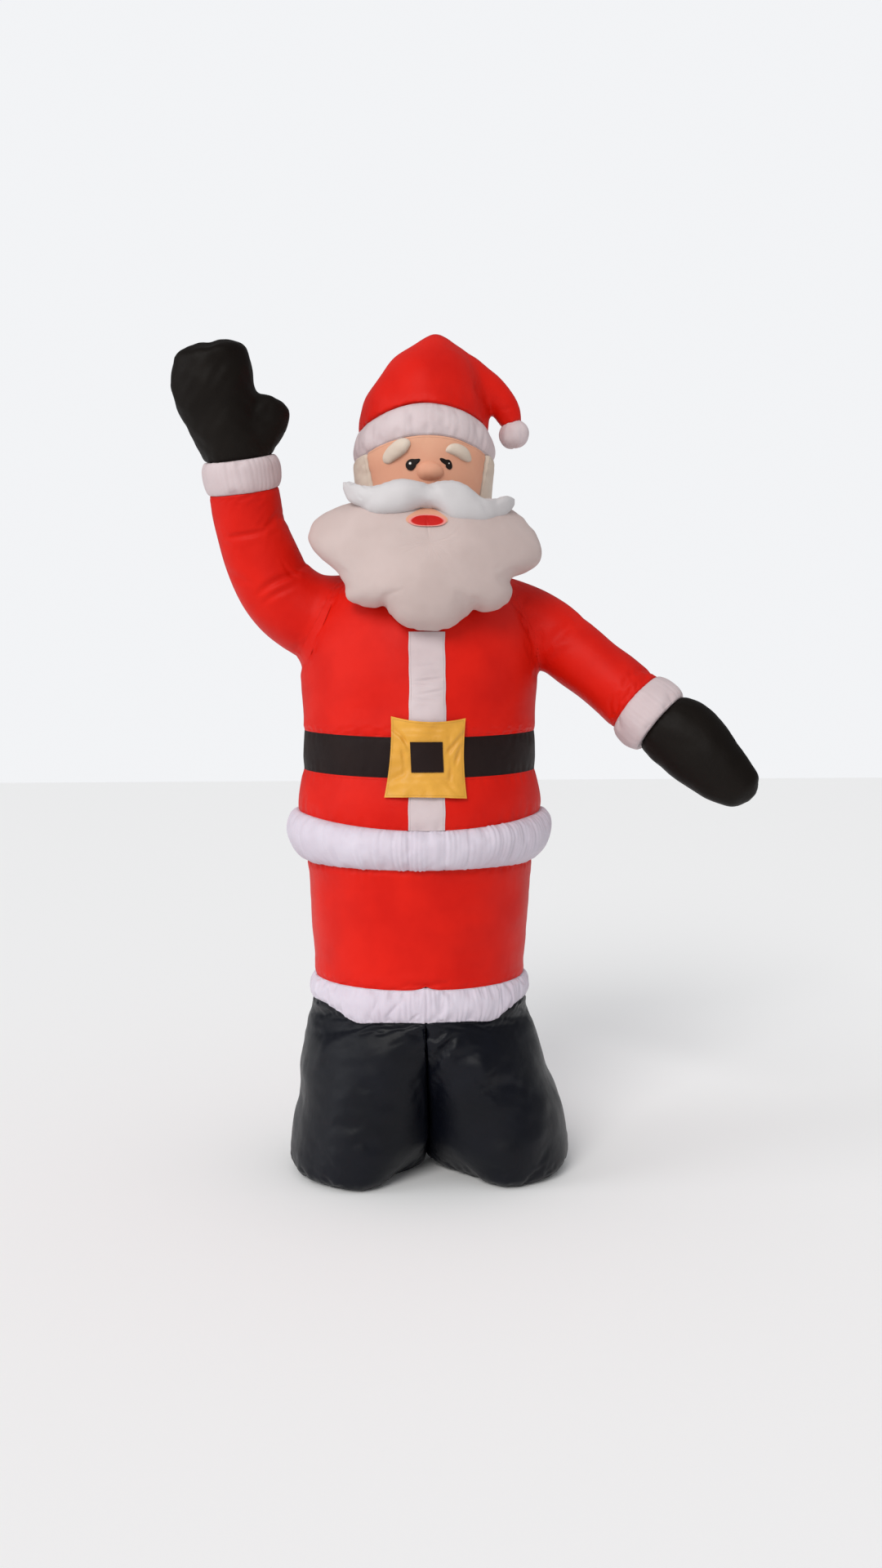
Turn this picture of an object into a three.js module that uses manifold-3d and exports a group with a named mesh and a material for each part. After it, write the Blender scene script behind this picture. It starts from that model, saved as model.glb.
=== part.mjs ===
// An air-filled Santa figure, 2.4 m tall, sewn from coated polyester cloth. One arm waves, the other is held
// out and down. Each sewn chamber, trim and patch is one closed solid of the form that it takes when it is full
// of air.
//
// Millimetres, +Z up. The figure faces -Y and its left hand is towards +X. The tables give places from the axis
// of the body, on the ground. At the end the figure is moved so that the origin is at the bottom centre of its
// box.

import * as THREE from "three";
import { mergeVertices } from "three/addons/utils/BufferGeometryUtils.js";
import Module from "manifold-3d";

const wasm = await Module();
wasm.setup();

// Driving sizes.
const GAP = 0.3; // between neighbouring pieces
const CLEARANCE = 0.5; // what a cut leaves around a neighbour, so that flat facets stay GAP apart
const CLOTH = 2; // thickness of a flat patch with its seam allowance
const LIFT = 0.35; // how far a flat patch stands off what it is sewn to
const AROUND = 32; // facets around the body
const FACETS = 16; // facets around an arm or a mitten

// The seams of the body, from the ground up.
const BOOT_TOP = 503;
const BOOT_TRIM_TOP = 571;
const TROUSER_TOP = 908;
const SKIRT_BOTTOM = 1050;
const BELT_BOTTOM = 1168;
const BELT_TOP = 1279;
const NECK = 1748;

// Half width and half depth of the body at each height, and how far its rings sag at the front and back.
const BODY = [
  { z: 503, halfWidth: 311, halfDepth: 298, sag: 28 },
  { z: 571, halfWidth: 305, halfDepth: 295, sag: 0 },
  { z: 740, halfWidth: 312, halfDepth: 302, sag: 0 },
  { z: 908, halfWidth: 326, halfDepth: 317, sag: 0 },
  { z: 1050, halfWidth: 353, halfDepth: 343, sag: 30 },
  { z: 1168, halfWidth: 336, halfDepth: 330, sag: 6 },
  { z: 1279, halfWidth: 334, halfDepth: 324, sag: 7 },
  { z: 1380, halfWidth: 336, halfDepth: 316, sag: 0 },
  { z: 1470, halfWidth: 341, halfDepth: 305, sag: 0 },
  { z: 1560, halfWidth: 330, halfDepth: 286, sag: 0 },
  { z: 1640, halfWidth: 292, halfDepth: 258, sag: 0 },
  { z: 1705, halfWidth: 228, halfDepth: 215, sag: 0 },
  { z: 1748, halfWidth: 150, halfDepth: 158, sag: 0 },
];

// One boot, from its sole up. x is how far its middle lies from the seam between the boots, lean is how far
// that seam stands to the figure's left, and inner and outer are how far the corners on each side are cut back.
const BOOT = [
  { z: 0, x: 204, y: -12, halfWidth: 160, halfDepth: 226, inner: 0.2, outer: 0.06, lean: 34 },
  { z: 14, x: 205, y: -13, halfWidth: 181, halfDepth: 252, inner: 0.2, outer: 0.06, lean: 33 },
  { z: 45, x: 206, y: -14, halfWidth: 198, halfDepth: 272, inner: 0.2, outer: 0.06, lean: 31 },
  { z: 95, x: 206, y: -14, halfWidth: 204, halfDepth: 284, inner: 0.19, outer: 0.05, lean: 27 },
  { z: 170, x: 196, y: -12, halfWidth: 203, halfDepth: 290, inner: 0.14, outer: 0.03, lean: 20 },
  { z: 277, x: 150, y: -8, halfWidth: 212, halfDepth: 292, inner: 0.04, outer: 0, lean: 9 },
  { z: 390, x: 84, y: -3, halfWidth: 252, halfDepth: 296, inner: 0, outer: 0, lean: -5 },
  { z: 475, x: 32, y: 0, halfWidth: 282, halfDepth: 298, inner: 0, outer: 0, lean: -1 },
  { z: 540, x: 26, y: 0, halfWidth: 284, halfDepth: 298, inner: 0, outer: 0, lean: 0 },
];

// The head, from the neck up.
const HEAD_X = 14;
const HEAD = [
  { z: 1748, y: 0, halfWidth: 128, halfDepth: 136 },
  { z: 1800, y: -3, halfWidth: 158, halfDepth: 170 },
  { z: 1880, y: -5, halfWidth: 175, halfDepth: 192 },
  { z: 1960, y: -6, halfWidth: 180, halfDepth: 202 },
  { z: 2020, y: -6, halfWidth: 188, halfDepth: 206 },
  { z: 2062, y: -6, halfWidth: 194, halfDepth: 208 },
  { z: 2180, y: -6, halfWidth: 190, halfDepth: 204 },
];
const FACE_BACK = -112; // the plane where the face panel meets the hair
const HAIR_FULLER = 4; // how much fuller the hair stands than the face

// The hat's brim: a full band around a tilted circle, higher in front. Its profile runs from its lower seam
// up.
const BRIM = { x: 14, y: -6, z: 2101, height: 77, tilt: 11.6, deeper: 12 };
const BRIM_PROFILE = [
  { level: 0, radius: 193 },
  { level: 0.12, radius: 199 },
  { level: 0.38, radius: 199 },
  { level: 0.7, radius: 192 },
  { level: 1, radius: 182 },
];

// The hat above its brim, and the tail that hangs from its side.
const HAT = [
  { z: 2040, x: 14, halfWidth: 181, halfDepth: 193 },
  { z: 2149, x: 14, halfWidth: 181, halfDepth: 192 },
  { z: 2181, x: 15, halfWidth: 178, halfDepth: 187 },
  { z: 2214, x: 17, halfWidth: 170, halfDepth: 176 },
  { z: 2246, x: 21, halfWidth: 157, halfDepth: 161 },
  { z: 2278, x: 27, halfWidth: 141, halfDepth: 144 },
  { z: 2310, x: 34, halfWidth: 119, halfDepth: 120 },
  { z: 2343, x: 40, halfWidth: 90, halfDepth: 89 },
  { z: 2375, x: 44, halfWidth: 51, halfDepth: 50 },
  { z: 2400, x: 46, halfWidth: 7, halfDepth: 7 },
];
const HAT_TAIL = [
  { x: 40, y: -6, z: 2310, radius: 54 },
  { x: 90, y: -6, z: 2302, radius: 55 },
  { x: 150, y: -8, z: 2274, radius: 49 },
  { x: 200, y: -10, z: 2236, radius: 45 },
  { x: 232, y: -12, z: 2204, radius: 40 },
  { x: 253, y: -14, z: 2174, radius: 35 },
  { x: 266, y: -15, z: 2150, radius: 31 },
];
const POMPOM = { x: 272, y: -15, z: 2124, radius: 43 };

// Each arm's sleeve from inside the shoulder to the wrist: both arms reach forwards a little.
const WAVING_SLEEVE = [
  { x: -120, y: 0, z: 1590, radius: 122 },
  { x: -230, y: 0, z: 1590, radius: 126 },
  { x: -330, y: -2, z: 1618, radius: 121 },
  { x: -407, y: -8, z: 1685, radius: 112 },
  { x: -452, y: -20, z: 1774, radius: 106 },
  { x: -482, y: -32, z: 1858, radius: 100 },
  { x: -495, y: -48, z: 1947, radius: 95 },
];
const HELD_OUT_SLEEVE = [
  { x: 90, y: 0, z: 1600, radius: 112 },
  { x: 210, y: 0, z: 1616, radius: 106 },
  { x: 329, y: -5, z: 1589, radius: 99 },
  { x: 424, y: -40, z: 1516, radius: 94 },
  { x: 520, y: -85, z: 1439, radius: 93 },
  { x: 611, y: -129, z: 1358, radius: 92 },
];
const CUFF = { length: 97, inner: 92, roll: 20 };

// A mitten along its own axis from the cuff's seam: how far its middle shifts sideways, and its half sizes.
const WAVING_MITTEN = [
  { at: 0, shift: 0, halfWidth: 96, halfDepth: 88 },
  { at: 40, shift: -9, halfWidth: 100, halfDepth: 90 },
  { at: 100, shift: -23, halfWidth: 107, halfDepth: 93 },
  { at: 156, shift: -34, halfWidth: 113, halfDepth: 93 },
  { at: 210, shift: -40, halfWidth: 115, halfDepth: 90 },
  { at: 240, shift: -38, halfWidth: 112, halfDepth: 86 },
  { at: 280, shift: -29, halfWidth: 98, halfDepth: 74 },
  { at: 306, shift: -20, halfWidth: 74, halfDepth: 55 },
  { at: 324, shift: -9, halfWidth: 24, halfDepth: 16 },
];
const HELD_OUT_MITTEN = [
  { at: 0, shift: -6, halfWidth: 92, halfDepth: 86 },
  { at: 30, shift: -8, halfWidth: 99, halfDepth: 90 },
  { at: 82, shift: -10, halfWidth: 104, halfDepth: 91 },
  { at: 130, shift: -9, halfWidth: 102, halfDepth: 89 },
  { at: 185, shift: -7, halfWidth: 93, halfDepth: 83 },
  { at: 248, shift: -5, halfWidth: 79, halfDepth: 71 },
  { at: 288, shift: -7, halfWidth: 66, halfDepth: 59 },
  { at: 313, shift: -9, halfWidth: 48, halfDepth: 43 },
  { at: 330, shift: -9, halfWidth: 16, halfDepth: 13 },
];
const THUMB = [
  { at: 0, radius: 82 },
  { at: 60, radius: 75 },
  { at: 105, radius: 66 },
  { at: 140, radius: 52 },
  { at: 162, radius: 34 },
  { at: 174, radius: 10 },
];

// The beard's outline from its middle: the angle is anticlockwise from the figure's left, seen from the
// front.
const BEARD_MIDDLE = { x: 6, z: 1790 };
const BEARD = [
  { angle: -180, reach: 312 },
  { angle: -174, reach: 293 },
  { angle: -160, reach: 258 },
  { angle: -145, reach: 254 },
  { angle: -124, reach: 209 },
  { angle: -110, reach: 222 },
  { angle: -90, reach: 234 },
  { angle: -75, reach: 232 },
  { angle: -56, reach: 217 },
  { angle: -34, reach: 273 },
  { angle: -19, reach: 263 },
  { angle: -9, reach: 310 },
  { angle: 3, reach: 316 },
  { angle: 17, reach: 285 },
  { angle: 50, reach: 172 },
  { angle: 90, reach: 132 },
  { angle: 130, reach: 172 },
  { angle: 155, reach: 262 },
  { angle: 167, reach: 312 },
  { angle: 180, reach: 312 },
];
// The surface that the outline lies on: it slopes out from the face to the chest and turns back at its sides.
const BEARD_SURFACE = { y: -195, z: 1925, slope: 0.3, turnBack: 60, halfWidth: 310 };
const BEARD_FRONT = 150; // how far its crown stands in front of that surface
const BEARD_BACK = 90;

// The moustache from the figure's right tip to its left: the middle's height, and its half sizes.
const MOUSTACHE = [
  { x: -226, z: 1938, halfHeight: 6, halfDepth: 6 },
  { x: -215, z: 1938, halfHeight: 26, halfDepth: 24 },
  { x: -180, z: 1927, halfHeight: 34, halfDepth: 36 },
  { x: -130, z: 1916, halfHeight: 40, halfDepth: 46 },
  { x: -55, z: 1924, halfHeight: 53, halfDepth: 54 },
  { x: 2, z: 1928, halfHeight: 38, halfDepth: 46 },
  { x: 74, z: 1912, halfHeight: 58, halfDepth: 56 },
  { x: 140, z: 1890, halfHeight: 42, halfDepth: 48 },
  { x: 200, z: 1888, halfHeight: 33, halfDepth: 36 },
  { x: 240, z: 1900, halfHeight: 22, halfDepth: 22 },
  { x: 254, z: 1904, halfHeight: 5, halfDepth: 5 },
];

const MOUSTACHE_FRONT = { y: -318, turnBack: 0.00165 }; // its middle line, which turns back towards its tips

const NOSE = { x: 22, y: -218, z: 1996, halfWidth: 39, halfDepth: 36, halfHeight: 30 };
const BROW = { halfWidth: 44, halfHeight: 19, halfDepth: 15 };
const BROWS = [
  { name: "brow_right", x: -76, z: 2044, turn: 32 },
  { name: "brow_left", x: 98, z: 2046, turn: -27 },
];
const EYE = { halfWidth: 21, halfHeight: 15 };
const EYES = [
  { name: "eye_right", x: -28, z: 2013, turn: 28 },
  { name: "eye_left", x: 66, z: 2013, turn: -38 },
];
const MOUTH = { x: 6, z: 1834, halfWidth: 60, height: 46, foot: 8 };
const LIPS = { x: 2, z: 1841, halfWidth: 43, height: 28, foot: 3 };

const PLACKET = { x: 1, width: 106, foot: 1010, top: 1600 };
const BUCKLE = { x: 1, z: 1216, halfWidth: 106, halfHeight: 108, pinch: 9 };
const BUCKLE_CENTRE = { x: 1, z: 1218, halfWidth: 41, halfHeight: 38, pinch: 0 };

const CLOTHS = {
  red: new THREE.MeshStandardMaterial({ color: 0xc8161d, roughness: 0.5 }),
  white: new THREE.MeshStandardMaterial({ color: 0xe6e0e4, roughness: 0.55 }),
  black: new THREE.MeshStandardMaterial({ color: 0x17171a, roughness: 0.45 }),
  skin: new THREE.MeshStandardMaterial({ color: 0xe8ab8c, roughness: 0.55 }),
  gold: new THREE.MeshStandardMaterial({ color: 0xe9a53a, roughness: 0.45 }),
  lip: new THREE.MeshStandardMaterial({ color: 0xcf1a14, roughness: 0.5 }),
};

const radians = THREE.MathUtils.degToRad;

// ---- Tools of the trade ----

// A smooth function through a table's rows: key names the column that the others are read against.
function smooth(rows, key) {
  const columns = Object.keys(rows[0]).filter((column) => column !== key);
  const interpolant = new THREE.CubicInterpolant(
    rows.map((row) => row[key]),
    rows.flatMap((row) => columns.map((column) => row[column])),
    columns.length,
  );
  return (at) => {
    const values = interpolant.evaluate(at);
    return Object.fromEntries(columns.map((column, i) => [column, values[i]]));
  };
}

// Evenly spaced values from low to high, with both ends.
function steps(low, high, count) {
  return Array.from({ length: count + 1 }, (_, i) => low + ((high - low) * i) / count);
}

// Moves every vertex of a geometry with place(vertex), then joins the vertices that meet.
function reshape(geometry, place) {
  const position = geometry.getAttribute("position");
  const vertex = new THREE.Vector3();
  for (let i = 0; i < position.count; i++) {
    place(vertex.fromBufferAttribute(position, i));
    position.setXYZ(i, vertex.x, vertex.y, vertex.z);
  }
  geometry.deleteAttribute("normal");
  geometry.deleteAttribute("uv");
  return mergeVertices(geometry, 1e-3);
}

// A closed drum through rings: ring(level) gives a function of the angle that returns a point of that level's
// ring, and its ends are closed at the rings' own middles.
function drum(levels, ring, facets) {
  const rows = levels.length - 1;
  const rings = levels.map(ring);
  return reshape(new THREE.CylinderGeometry(1, 1, 1, facets, rows), (vertex) => {
    const point = rings[Math.round((vertex.y + 0.5) * rows)];
    const out = Math.min(1, Math.hypot(vertex.x, vertex.z));
    vertex.copy(point(Math.atan2(-vertex.z, vertex.x), Math.round(out)));
  });
}

// A level ring around (x, y) that sags at the front and back. grow makes it larger all round.
function levelRing(section, z, grow = 0) {
  const { x = 0, y = 0, halfWidth, halfDepth, sag = 0 } = section;
  return (angle, out) =>
    new THREE.Vector3(
      x + out * (halfWidth + grow) * Math.cos(angle),
      y + out * (halfDepth + grow) * Math.sin(angle),
      z - sag * (out * Math.sin(angle)) ** 2,
    );
}

function toSolid(geometry) {
  const index = new Uint32Array(geometry.index.array);
  const vertices = geometry.getAttribute("position").array;
  return new wasm.Manifold(new wasm.Mesh({ numProp: 3, vertProperties: vertices, triVerts: index }));
}

function toGeometry(solid) {
  const mesh = solid.getMesh();
  const geometry = new THREE.BufferGeometry();
  geometry.setAttribute("position", new THREE.BufferAttribute(mesh.vertProperties, 3));
  geometry.setIndex(new THREE.BufferAttribute(mesh.triVerts, 1));
  return geometry;
}

// The same form, larger all round: each vertex moves along its own normal.
function grown(geometry, distance) {
  const larger = geometry.clone();
  larger.computeVertexNormals();
  const position = larger.getAttribute("position");
  const normal = larger.getAttribute("normal");
  for (let i = 0; i < position.count; i++) {
    position.setXYZ(
      i,
      position.getX(i) + distance * normal.getX(i),
      position.getY(i) + distance * normal.getY(i),
      position.getZ(i) + distance * normal.getZ(i),
    );
  }
  larger.deleteAttribute("normal");
  return larger;
}

// A solid with room cut into it for each of the neighbours.
function clearOf(solid, ...neighbours) {
  return neighbours.reduce((left, other) => left.subtract(toSolid(grown(other, CLEARANCE))), solid);
}

// Only the largest body of a solid that a cut has left in several.
function largest(solid) {
  return solid.decompose().reduce((a, b) => (a.volume() > b.volume() ? a : b));
}

// A large block on one side of a plane through a point, to cut with. facing is the side that it fills.
function block(point, facing) {
  const size = 6000;
  const geometry = new THREE.BoxGeometry(size, size, size);
  geometry.translate(0, 0, size / 2);
  geometry.applyQuaternion(new THREE.Quaternion().setFromUnitVectors(new THREE.Vector3(0, 0, 1), facing));
  geometry.translate(point.x, point.y, point.z);
  return toSolid(reshape(geometry, () => {}));
}

const figure = new THREE.Group();

function add(name, geometry, cloth) {
  const mesh = new THREE.Mesh(geometry, CLOTHS[cloth]);
  mesh.name = name;
  figure.add(mesh);
  return geometry;
}

// ---- The body: panels stacked between level seams ----

const body = smooth(BODY, "z");

function bodyPanel(levels, bulge = () => 0) {
  const [low, high] = [levels[0], levels.at(-1)];
  return drum(
    levels,
    (z) => {
      const end = z === low ? GAP / 2 : z === high ? -GAP / 2 : 0;
      return levelRing(body(z), z + end, bulge((z - low) / (high - low)));
    },
    AROUND,
  );
}

// A sewn trim puffs out between its two seams like half a roll.
function puff(roll) {
  return (level) => roll * Math.sqrt(Math.max(0, 1 - (2 * level - 1) ** 2));
}

// Levels that lie closer together towards both ends, where a roll turns fastest.
function rollLevels(low, high, count) {
  return steps(0, Math.PI, count).map((angle) => low + ((high - low) * (1 - Math.cos(angle))) / 2);
}

const BOOT_TRIM_ROLL = 11;
const JACKET_TRIM_ROLL = 37;
const jacketLevels = [...steps(BELT_TOP, 1560, 3), 1605, 1650, 1690, 1722, NECK];
const jacketTrimLevels = rollLevels(TROUSER_TOP, SKIRT_BOTTOM, 4);
add("boot_trim", bodyPanel(rollLevels(BOOT_TOP, BOOT_TRIM_TOP, 4), puff(BOOT_TRIM_ROLL)), "white");
add("trousers", bodyPanel(steps(BOOT_TRIM_TOP, TROUSER_TOP, 3)), "red");
const jacketTrim = add("jacket_trim", bodyPanel(jacketTrimLevels, puff(JACKET_TRIM_ROLL)), "white");
add("jacket_skirt", bodyPanel(steps(SKIRT_BOTTOM, BELT_BOTTOM, 2)), "red");
add("belt", bodyPanel([BELT_BOTTOM, BELT_TOP]), "black");
const jacket = add("jacket", bodyPanel(jacketLevels), "red");

// ---- Boots: two lobes that stand apart on the ground and press together at the seam between them ----

const boot = smooth(BOOT, "z");

// A boot's ring: an oval whose corners are cut back, by less on its outer side.
function bootRing(side, z) {
  const { x, y, halfWidth, halfDepth, inner, outer, lean } = boot(z);
  return (angle, out) => {
    const corner = Math.sin(2 * angle) ** 2;
    const cut = Math.cos(angle) * side < 0 ? inner : outer;
    const reach = out * (1 - cut * corner);
    return new THREE.Vector3(
      side * x + lean + reach * halfWidth * Math.cos(angle),
      y + reach * halfDepth * Math.sin(angle),
      z,
    );
  };
}

const bootLevels = [0, 14, 45, 95, 170, 277, 390, 475, 540];

// Everything on one side of the seam between the boots, which leans as they do.
function besideSeam(side) {
  const size = 1000;
  const levels = [-20, ...bootLevels.slice(1), 600];
  const rows = levels.length - 1;
  const box = new THREE.BoxGeometry(size, size, size, 1, rows, 1);
  return toSolid(
    reshape(box, (vertex) => {
      const z = levels[Math.round((vertex.y / size + 0.5) * rows)];
      const lean = boot(THREE.MathUtils.clamp(z, 0, 540)).lean;
      vertex.set(vertex.x + side * (size / 2 + GAP / 2) + lean, -vertex.z, z);
    }),
  );
}

// Everything below the boots' seam with their trim, whose ring is carried on straight past the boots.
function belowBootTop() {
  const times = 3;
  const { halfWidth, halfDepth, sag } = body(BOOT_TOP);
  const wide = { halfWidth: times * halfWidth, halfDepth: times * halfDepth };
  const ring = (z) => (angle, out) => {
    const point = levelRing(wide, z)(angle, out);
    point.z -= z === BOOT_TOP ? GAP / 2 + out * times * sag * Math.sin(angle) ** 2 : 0;
    return point;
  };
  return toSolid(drum([-100, BOOT_TOP], ring, AROUND));
}

function bootLobe(side) {
  const lobe = toSolid(drum(bootLevels, (z) => bootRing(side, z), AROUND));
  return toGeometry(lobe.intersect(besideSeam(side)).intersect(belowBootTop()));
}

add("boot_right", bootLobe(-1), "black");
add("boot_left", bootLobe(1), "black");

// ---- Arms: a sleeve along a curve, a rolled cuff and a mitten ----

// The directions across, behind and along a curve at one of its points.
function frameAt(curve, at) {
  const along = curve.getTangent(at);
  const across = new THREE.Vector3(along.z, 0, -along.x).normalize();
  return { along, across, behind: along.clone().cross(across) };
}

// A round form along a curve, whose rows give its middle and its radius.
function limb(table, rows, facets = FACETS) {
  const curve = limbCurve(table);
  const radius = smooth(
    table.map((row, i) => ({ at: i / (table.length - 1), radius: row.radius })),
    "at",
  );
  return drum(
    steps(0, 1, rows),
    (at) => {
      const middle = curve.getPoint(at);
      const { across, behind } = frameAt(curve, at);
      const size = radius(at).radius;
      return (angle, out) =>
        middle
          .clone()
          .addScaledVector(across, out * size * Math.cos(angle))
          .addScaledVector(behind, out * size * Math.sin(angle));
    },
    facets,
  );
}

function limbCurve(table) {
  const points = table.map((row) => new THREE.Vector3(row.x, row.y, row.z));
  return new THREE.CatmullRomCurve3(points, false, "centripetal");
}

// Sets a form that is built upwards from z = 0 on the end of a sleeve, a distance beyond it.
function onWrist(geometry, table, beyond) {
  const curve = limbCurve(table);
  const { across, behind, along } = frameAt(curve, 1);
  const base = curve.getPoint(1).addScaledVector(along, beyond);
  return geometry.applyMatrix4(new THREE.Matrix4().makeBasis(across, behind, along).setPosition(base));
}

function cuff() {
  return drum(
    rollLevels(0, CUFF.length, 4),
    (z) => {
      const radius = CUFF.inner + puff(CUFF.roll)(z / CUFF.length);
      return levelRing({ halfWidth: radius, halfDepth: radius }, z);
    },
    FACETS + 2,
  );
}

// A mitten's hand, with a thumb that leaves it at a tilt from its axis, turned around that axis.
function mitten(table, thumb) {
  const section = smooth(table, "at");
  const length = table.at(-1).at;
  const hand = drum(
    steps(0, Math.PI / 2, 8).map((angle) => length * Math.sin(angle)),
    (z) => {
      const { shift, halfWidth, halfDepth } = section(z);
      return levelRing({ x: shift, halfWidth, halfDepth }, z);
    },
    FACETS + 2,
  );
  const radius = smooth(THUMB, "at");
  const thumbForm = drum(
    [0, 60, 105, 140, 162, 174],
    (z) => levelRing({ halfWidth: radius(z).radius, halfDepth: thumb.flat * radius(z).radius }, z),
    12,
  );
  thumbForm.translate(0, 0, thumb.from);
  thumbForm.rotateY(radians(thumb.tilt));
  thumbForm.rotateZ(radians(thumb.turn));
  thumbForm.translate(0, 0, thumb.rise);
  const beyondCuff = block(new THREE.Vector3(), new THREE.Vector3(0, 0, 1));
  return toGeometry(toSolid(hand).add(toSolid(thumbForm)).intersect(beyondCuff));
}

function arm(side, table, rows, mittenTable, thumb) {
  const whole = limb(table, rows);
  add(`sleeve_${side}`, toGeometry(largest(clearOf(toSolid(whole), jacket))), "red");
  add(`cuff_${side}`, onWrist(cuff(), table, GAP), "white");
  add(`mitten_${side}`, onWrist(mitten(mittenTable, thumb), table, CUFF.length + 2 * GAP), "black");
}

arm("right", WAVING_SLEEVE, 9, WAVING_MITTEN, { tilt: 68, turn: 0, rise: 43, from: -10, flat: 0.8 });
arm("left", HELD_OUT_SLEEVE, 6, HELD_OUT_MITTEN, { tilt: 70, turn: 90, rise: 46, from: -20, flat: 0.8 });

// ---- Hat: a tilted brim with a peaked crown above it and a tail with a pompom ----

const brimTilt = radians(BRIM.tilt);
const brimAxis = new THREE.Vector3(0, Math.sin(brimTilt), Math.cos(brimTilt));

function brimPoint(height) {
  return new THREE.Vector3(BRIM.x, BRIM.y, BRIM.z).addScaledVector(brimAxis, height);
}

function hatBrim() {
  const profile = smooth(BRIM_PROFILE, "level");
  const band = drum(
    [0, 0.1, 0.3, 0.65, 1],
    (level) => {
      const { radius } = profile(level);
      return levelRing({ halfWidth: radius, halfDepth: radius + BRIM.deeper }, (level - 0.5) * BRIM.height);
    },
    AROUND,
  );
  band.rotateX(-brimTilt);
  return band.translate(BRIM.x, BRIM.y, BRIM.z);
}

const brim = add("hat_brim", hatBrim(), "white");

const aboveBrim = block(brimPoint(BRIM.height / 2 + GAP), brimAxis);
const belowBrim = block(brimPoint(-BRIM.height / 2 - GAP), brimAxis.clone().negate());
const hatSection = smooth(HAT, "z");
const crown = drum(
  [2040, 2149, 2181, 2230, 2280, 2325, 2362, 2400],
  (z) => levelRing({ ...hatSection(z), y: BRIM.y }, z),
  24,
);
const tail = limb(HAT_TAIL, 6, 12);
const hat = add("hat", toGeometry(toSolid(crown).intersect(aboveBrim).add(toSolid(tail))), "red");

// A ball with half sizes along each axis, around a middle.
function ball(form, around, rows) {
  const { x, y, z, radius, halfWidth = radius, halfDepth = radius, halfHeight = radius } = form;
  return reshape(new THREE.SphereGeometry(1, around, rows), (vertex) => {
    vertex.set(x + halfWidth * vertex.x, y + halfDepth * vertex.y, z + halfHeight * vertex.z);
  });
}

add("pompom", toGeometry(clearOf(toSolid(ball(POMPOM, 12, 8)), hat)), "white");

// ---- Head: a face panel in front and hair round the sides and back ----

const head = smooth(HEAD, "z");

function headForm(fuller) {
  return drum(
    [NECK, 1800, 1860, 1920, 1980, 2040, 2100, 2180],
    (z) => levelRing({ ...head(z), x: HEAD_X }, z + (z === NECK ? GAP / 2 : 0), fuller),
    AROUND,
  );
}

const front = block(new THREE.Vector3(0, FACE_BACK, 0), new THREE.Vector3(0, -1, 0));
const back = block(new THREE.Vector3(0, FACE_BACK + GAP, 0), new THREE.Vector3(0, 1, 0));
const face = add("face", toGeometry(toSolid(headForm(0)).intersect(front).intersect(belowBrim)), "skin");
const hairForm = toSolid(headForm(HAIR_FULLER));
const hair = add("hair", toGeometry(hairForm.intersect(back).intersect(belowBrim)), "white");

// ---- Beard and moustache: two cushions over the lower face and the chest ----

const beardReach = smooth(BEARD, "angle");

function beardSurface(x, z) {
  const { y, z: top, slope, turnBack, halfWidth } = BEARD_SURFACE;
  return y - slope * (top - z) + turnBack * ((x - BEARD_MIDDLE.x) / halfWidth) ** 2;
}

// The outline's reach without its scallops, for the parts of the cushion inside its rim.
function softReach(angle) {
  const offsets = [-40, -20, 0, 20, 40];
  const reaches = offsets.map((offset) => beardReach(((angle + offset + 540) % 360) - 180).reach);
  return reaches.reduce((sum, reach) => sum + reach, 0) / offsets.length;
}

function beardForm() {
  return reshape(new THREE.SphereGeometry(1, 44, 8), (vertex) => {
    const angle = THREE.MathUtils.radToDeg(Math.atan2(vertex.z, vertex.x));
    const out = Math.hypot(vertex.x, vertex.z) ** 0.85;
    const reach = beardReach(angle).reach * out ** 2 + softReach(angle) * (1 - out ** 2);
    const x = BEARD_MIDDLE.x + reach * out * Math.cos(radians(angle));
    const z = BEARD_MIDDLE.z + reach * out * Math.sin(radians(angle));
    const depth = vertex.y < 0 ? BEARD_FRONT : BEARD_BACK;
    vertex.set(x, beardSurface(x, z) + depth * vertex.y, z);
  });
}

const sleeves = ["sleeve_right", "sleeve_left"].map((name) => figure.getObjectByName(name).geometry);
const beardWhole = beardForm();
const beardCut = clearOf(toSolid(beardWhole), jacket, headForm(0), hair, ...sleeves);
const beard = add("beard", toGeometry(largest(beardCut)), "white");

function moustacheForm() {
  const section = smooth(MOUSTACHE, "x");
  return drum(
    [-226, -215, -180, -130, -92, -55, -25, 2, 38, 74, 107, 145, 200, 240, 254],
    (x) => {
      const { z, halfHeight, halfDepth } = section(x);
      const y = MOUSTACHE_FRONT.y + MOUSTACHE_FRONT.turnBack * x ** 2;
      return (angle, out) =>
        new THREE.Vector3(x, y + out * halfDepth * Math.cos(angle), z + out * halfHeight * Math.sin(angle));
    },
    10,
  );
}

const moustacheCut = clearOf(toSolid(moustacheForm()), beard, headForm(0), hair);
const moustache = add("moustache", toGeometry(largest(moustacheCut)), "white");

// ---- Features of the face ----

const noseWhole = ball(NOSE, 12, 8);
add("nose", toGeometry(largest(clearOf(toSolid(noseWhole), headForm(0), moustache))), "skin");

function brow({ x, z, turn }) {
  const form = ball({ x: 0, y: 0, z: 0, ...BROW }, 12, 6);
  form.rotateY(-radians(turn));
  return form.translate(x, faceDepth(x, z) - 4, z);
}

// Where the face's surface lies at a place on its front.
function faceDepth(x, z) {
  const section = head(z);
  return section.y - section.halfDepth * Math.sqrt(1 - ((x - HEAD_X) / section.halfWidth) ** 2);
}

for (const row of BROWS) {
  add(row.name, toGeometry(largest(clearOf(toSolid(brow(row)), face, brim))), "white");
}

// ---- Flat patches: each follows the form that it is sewn to ----

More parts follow.
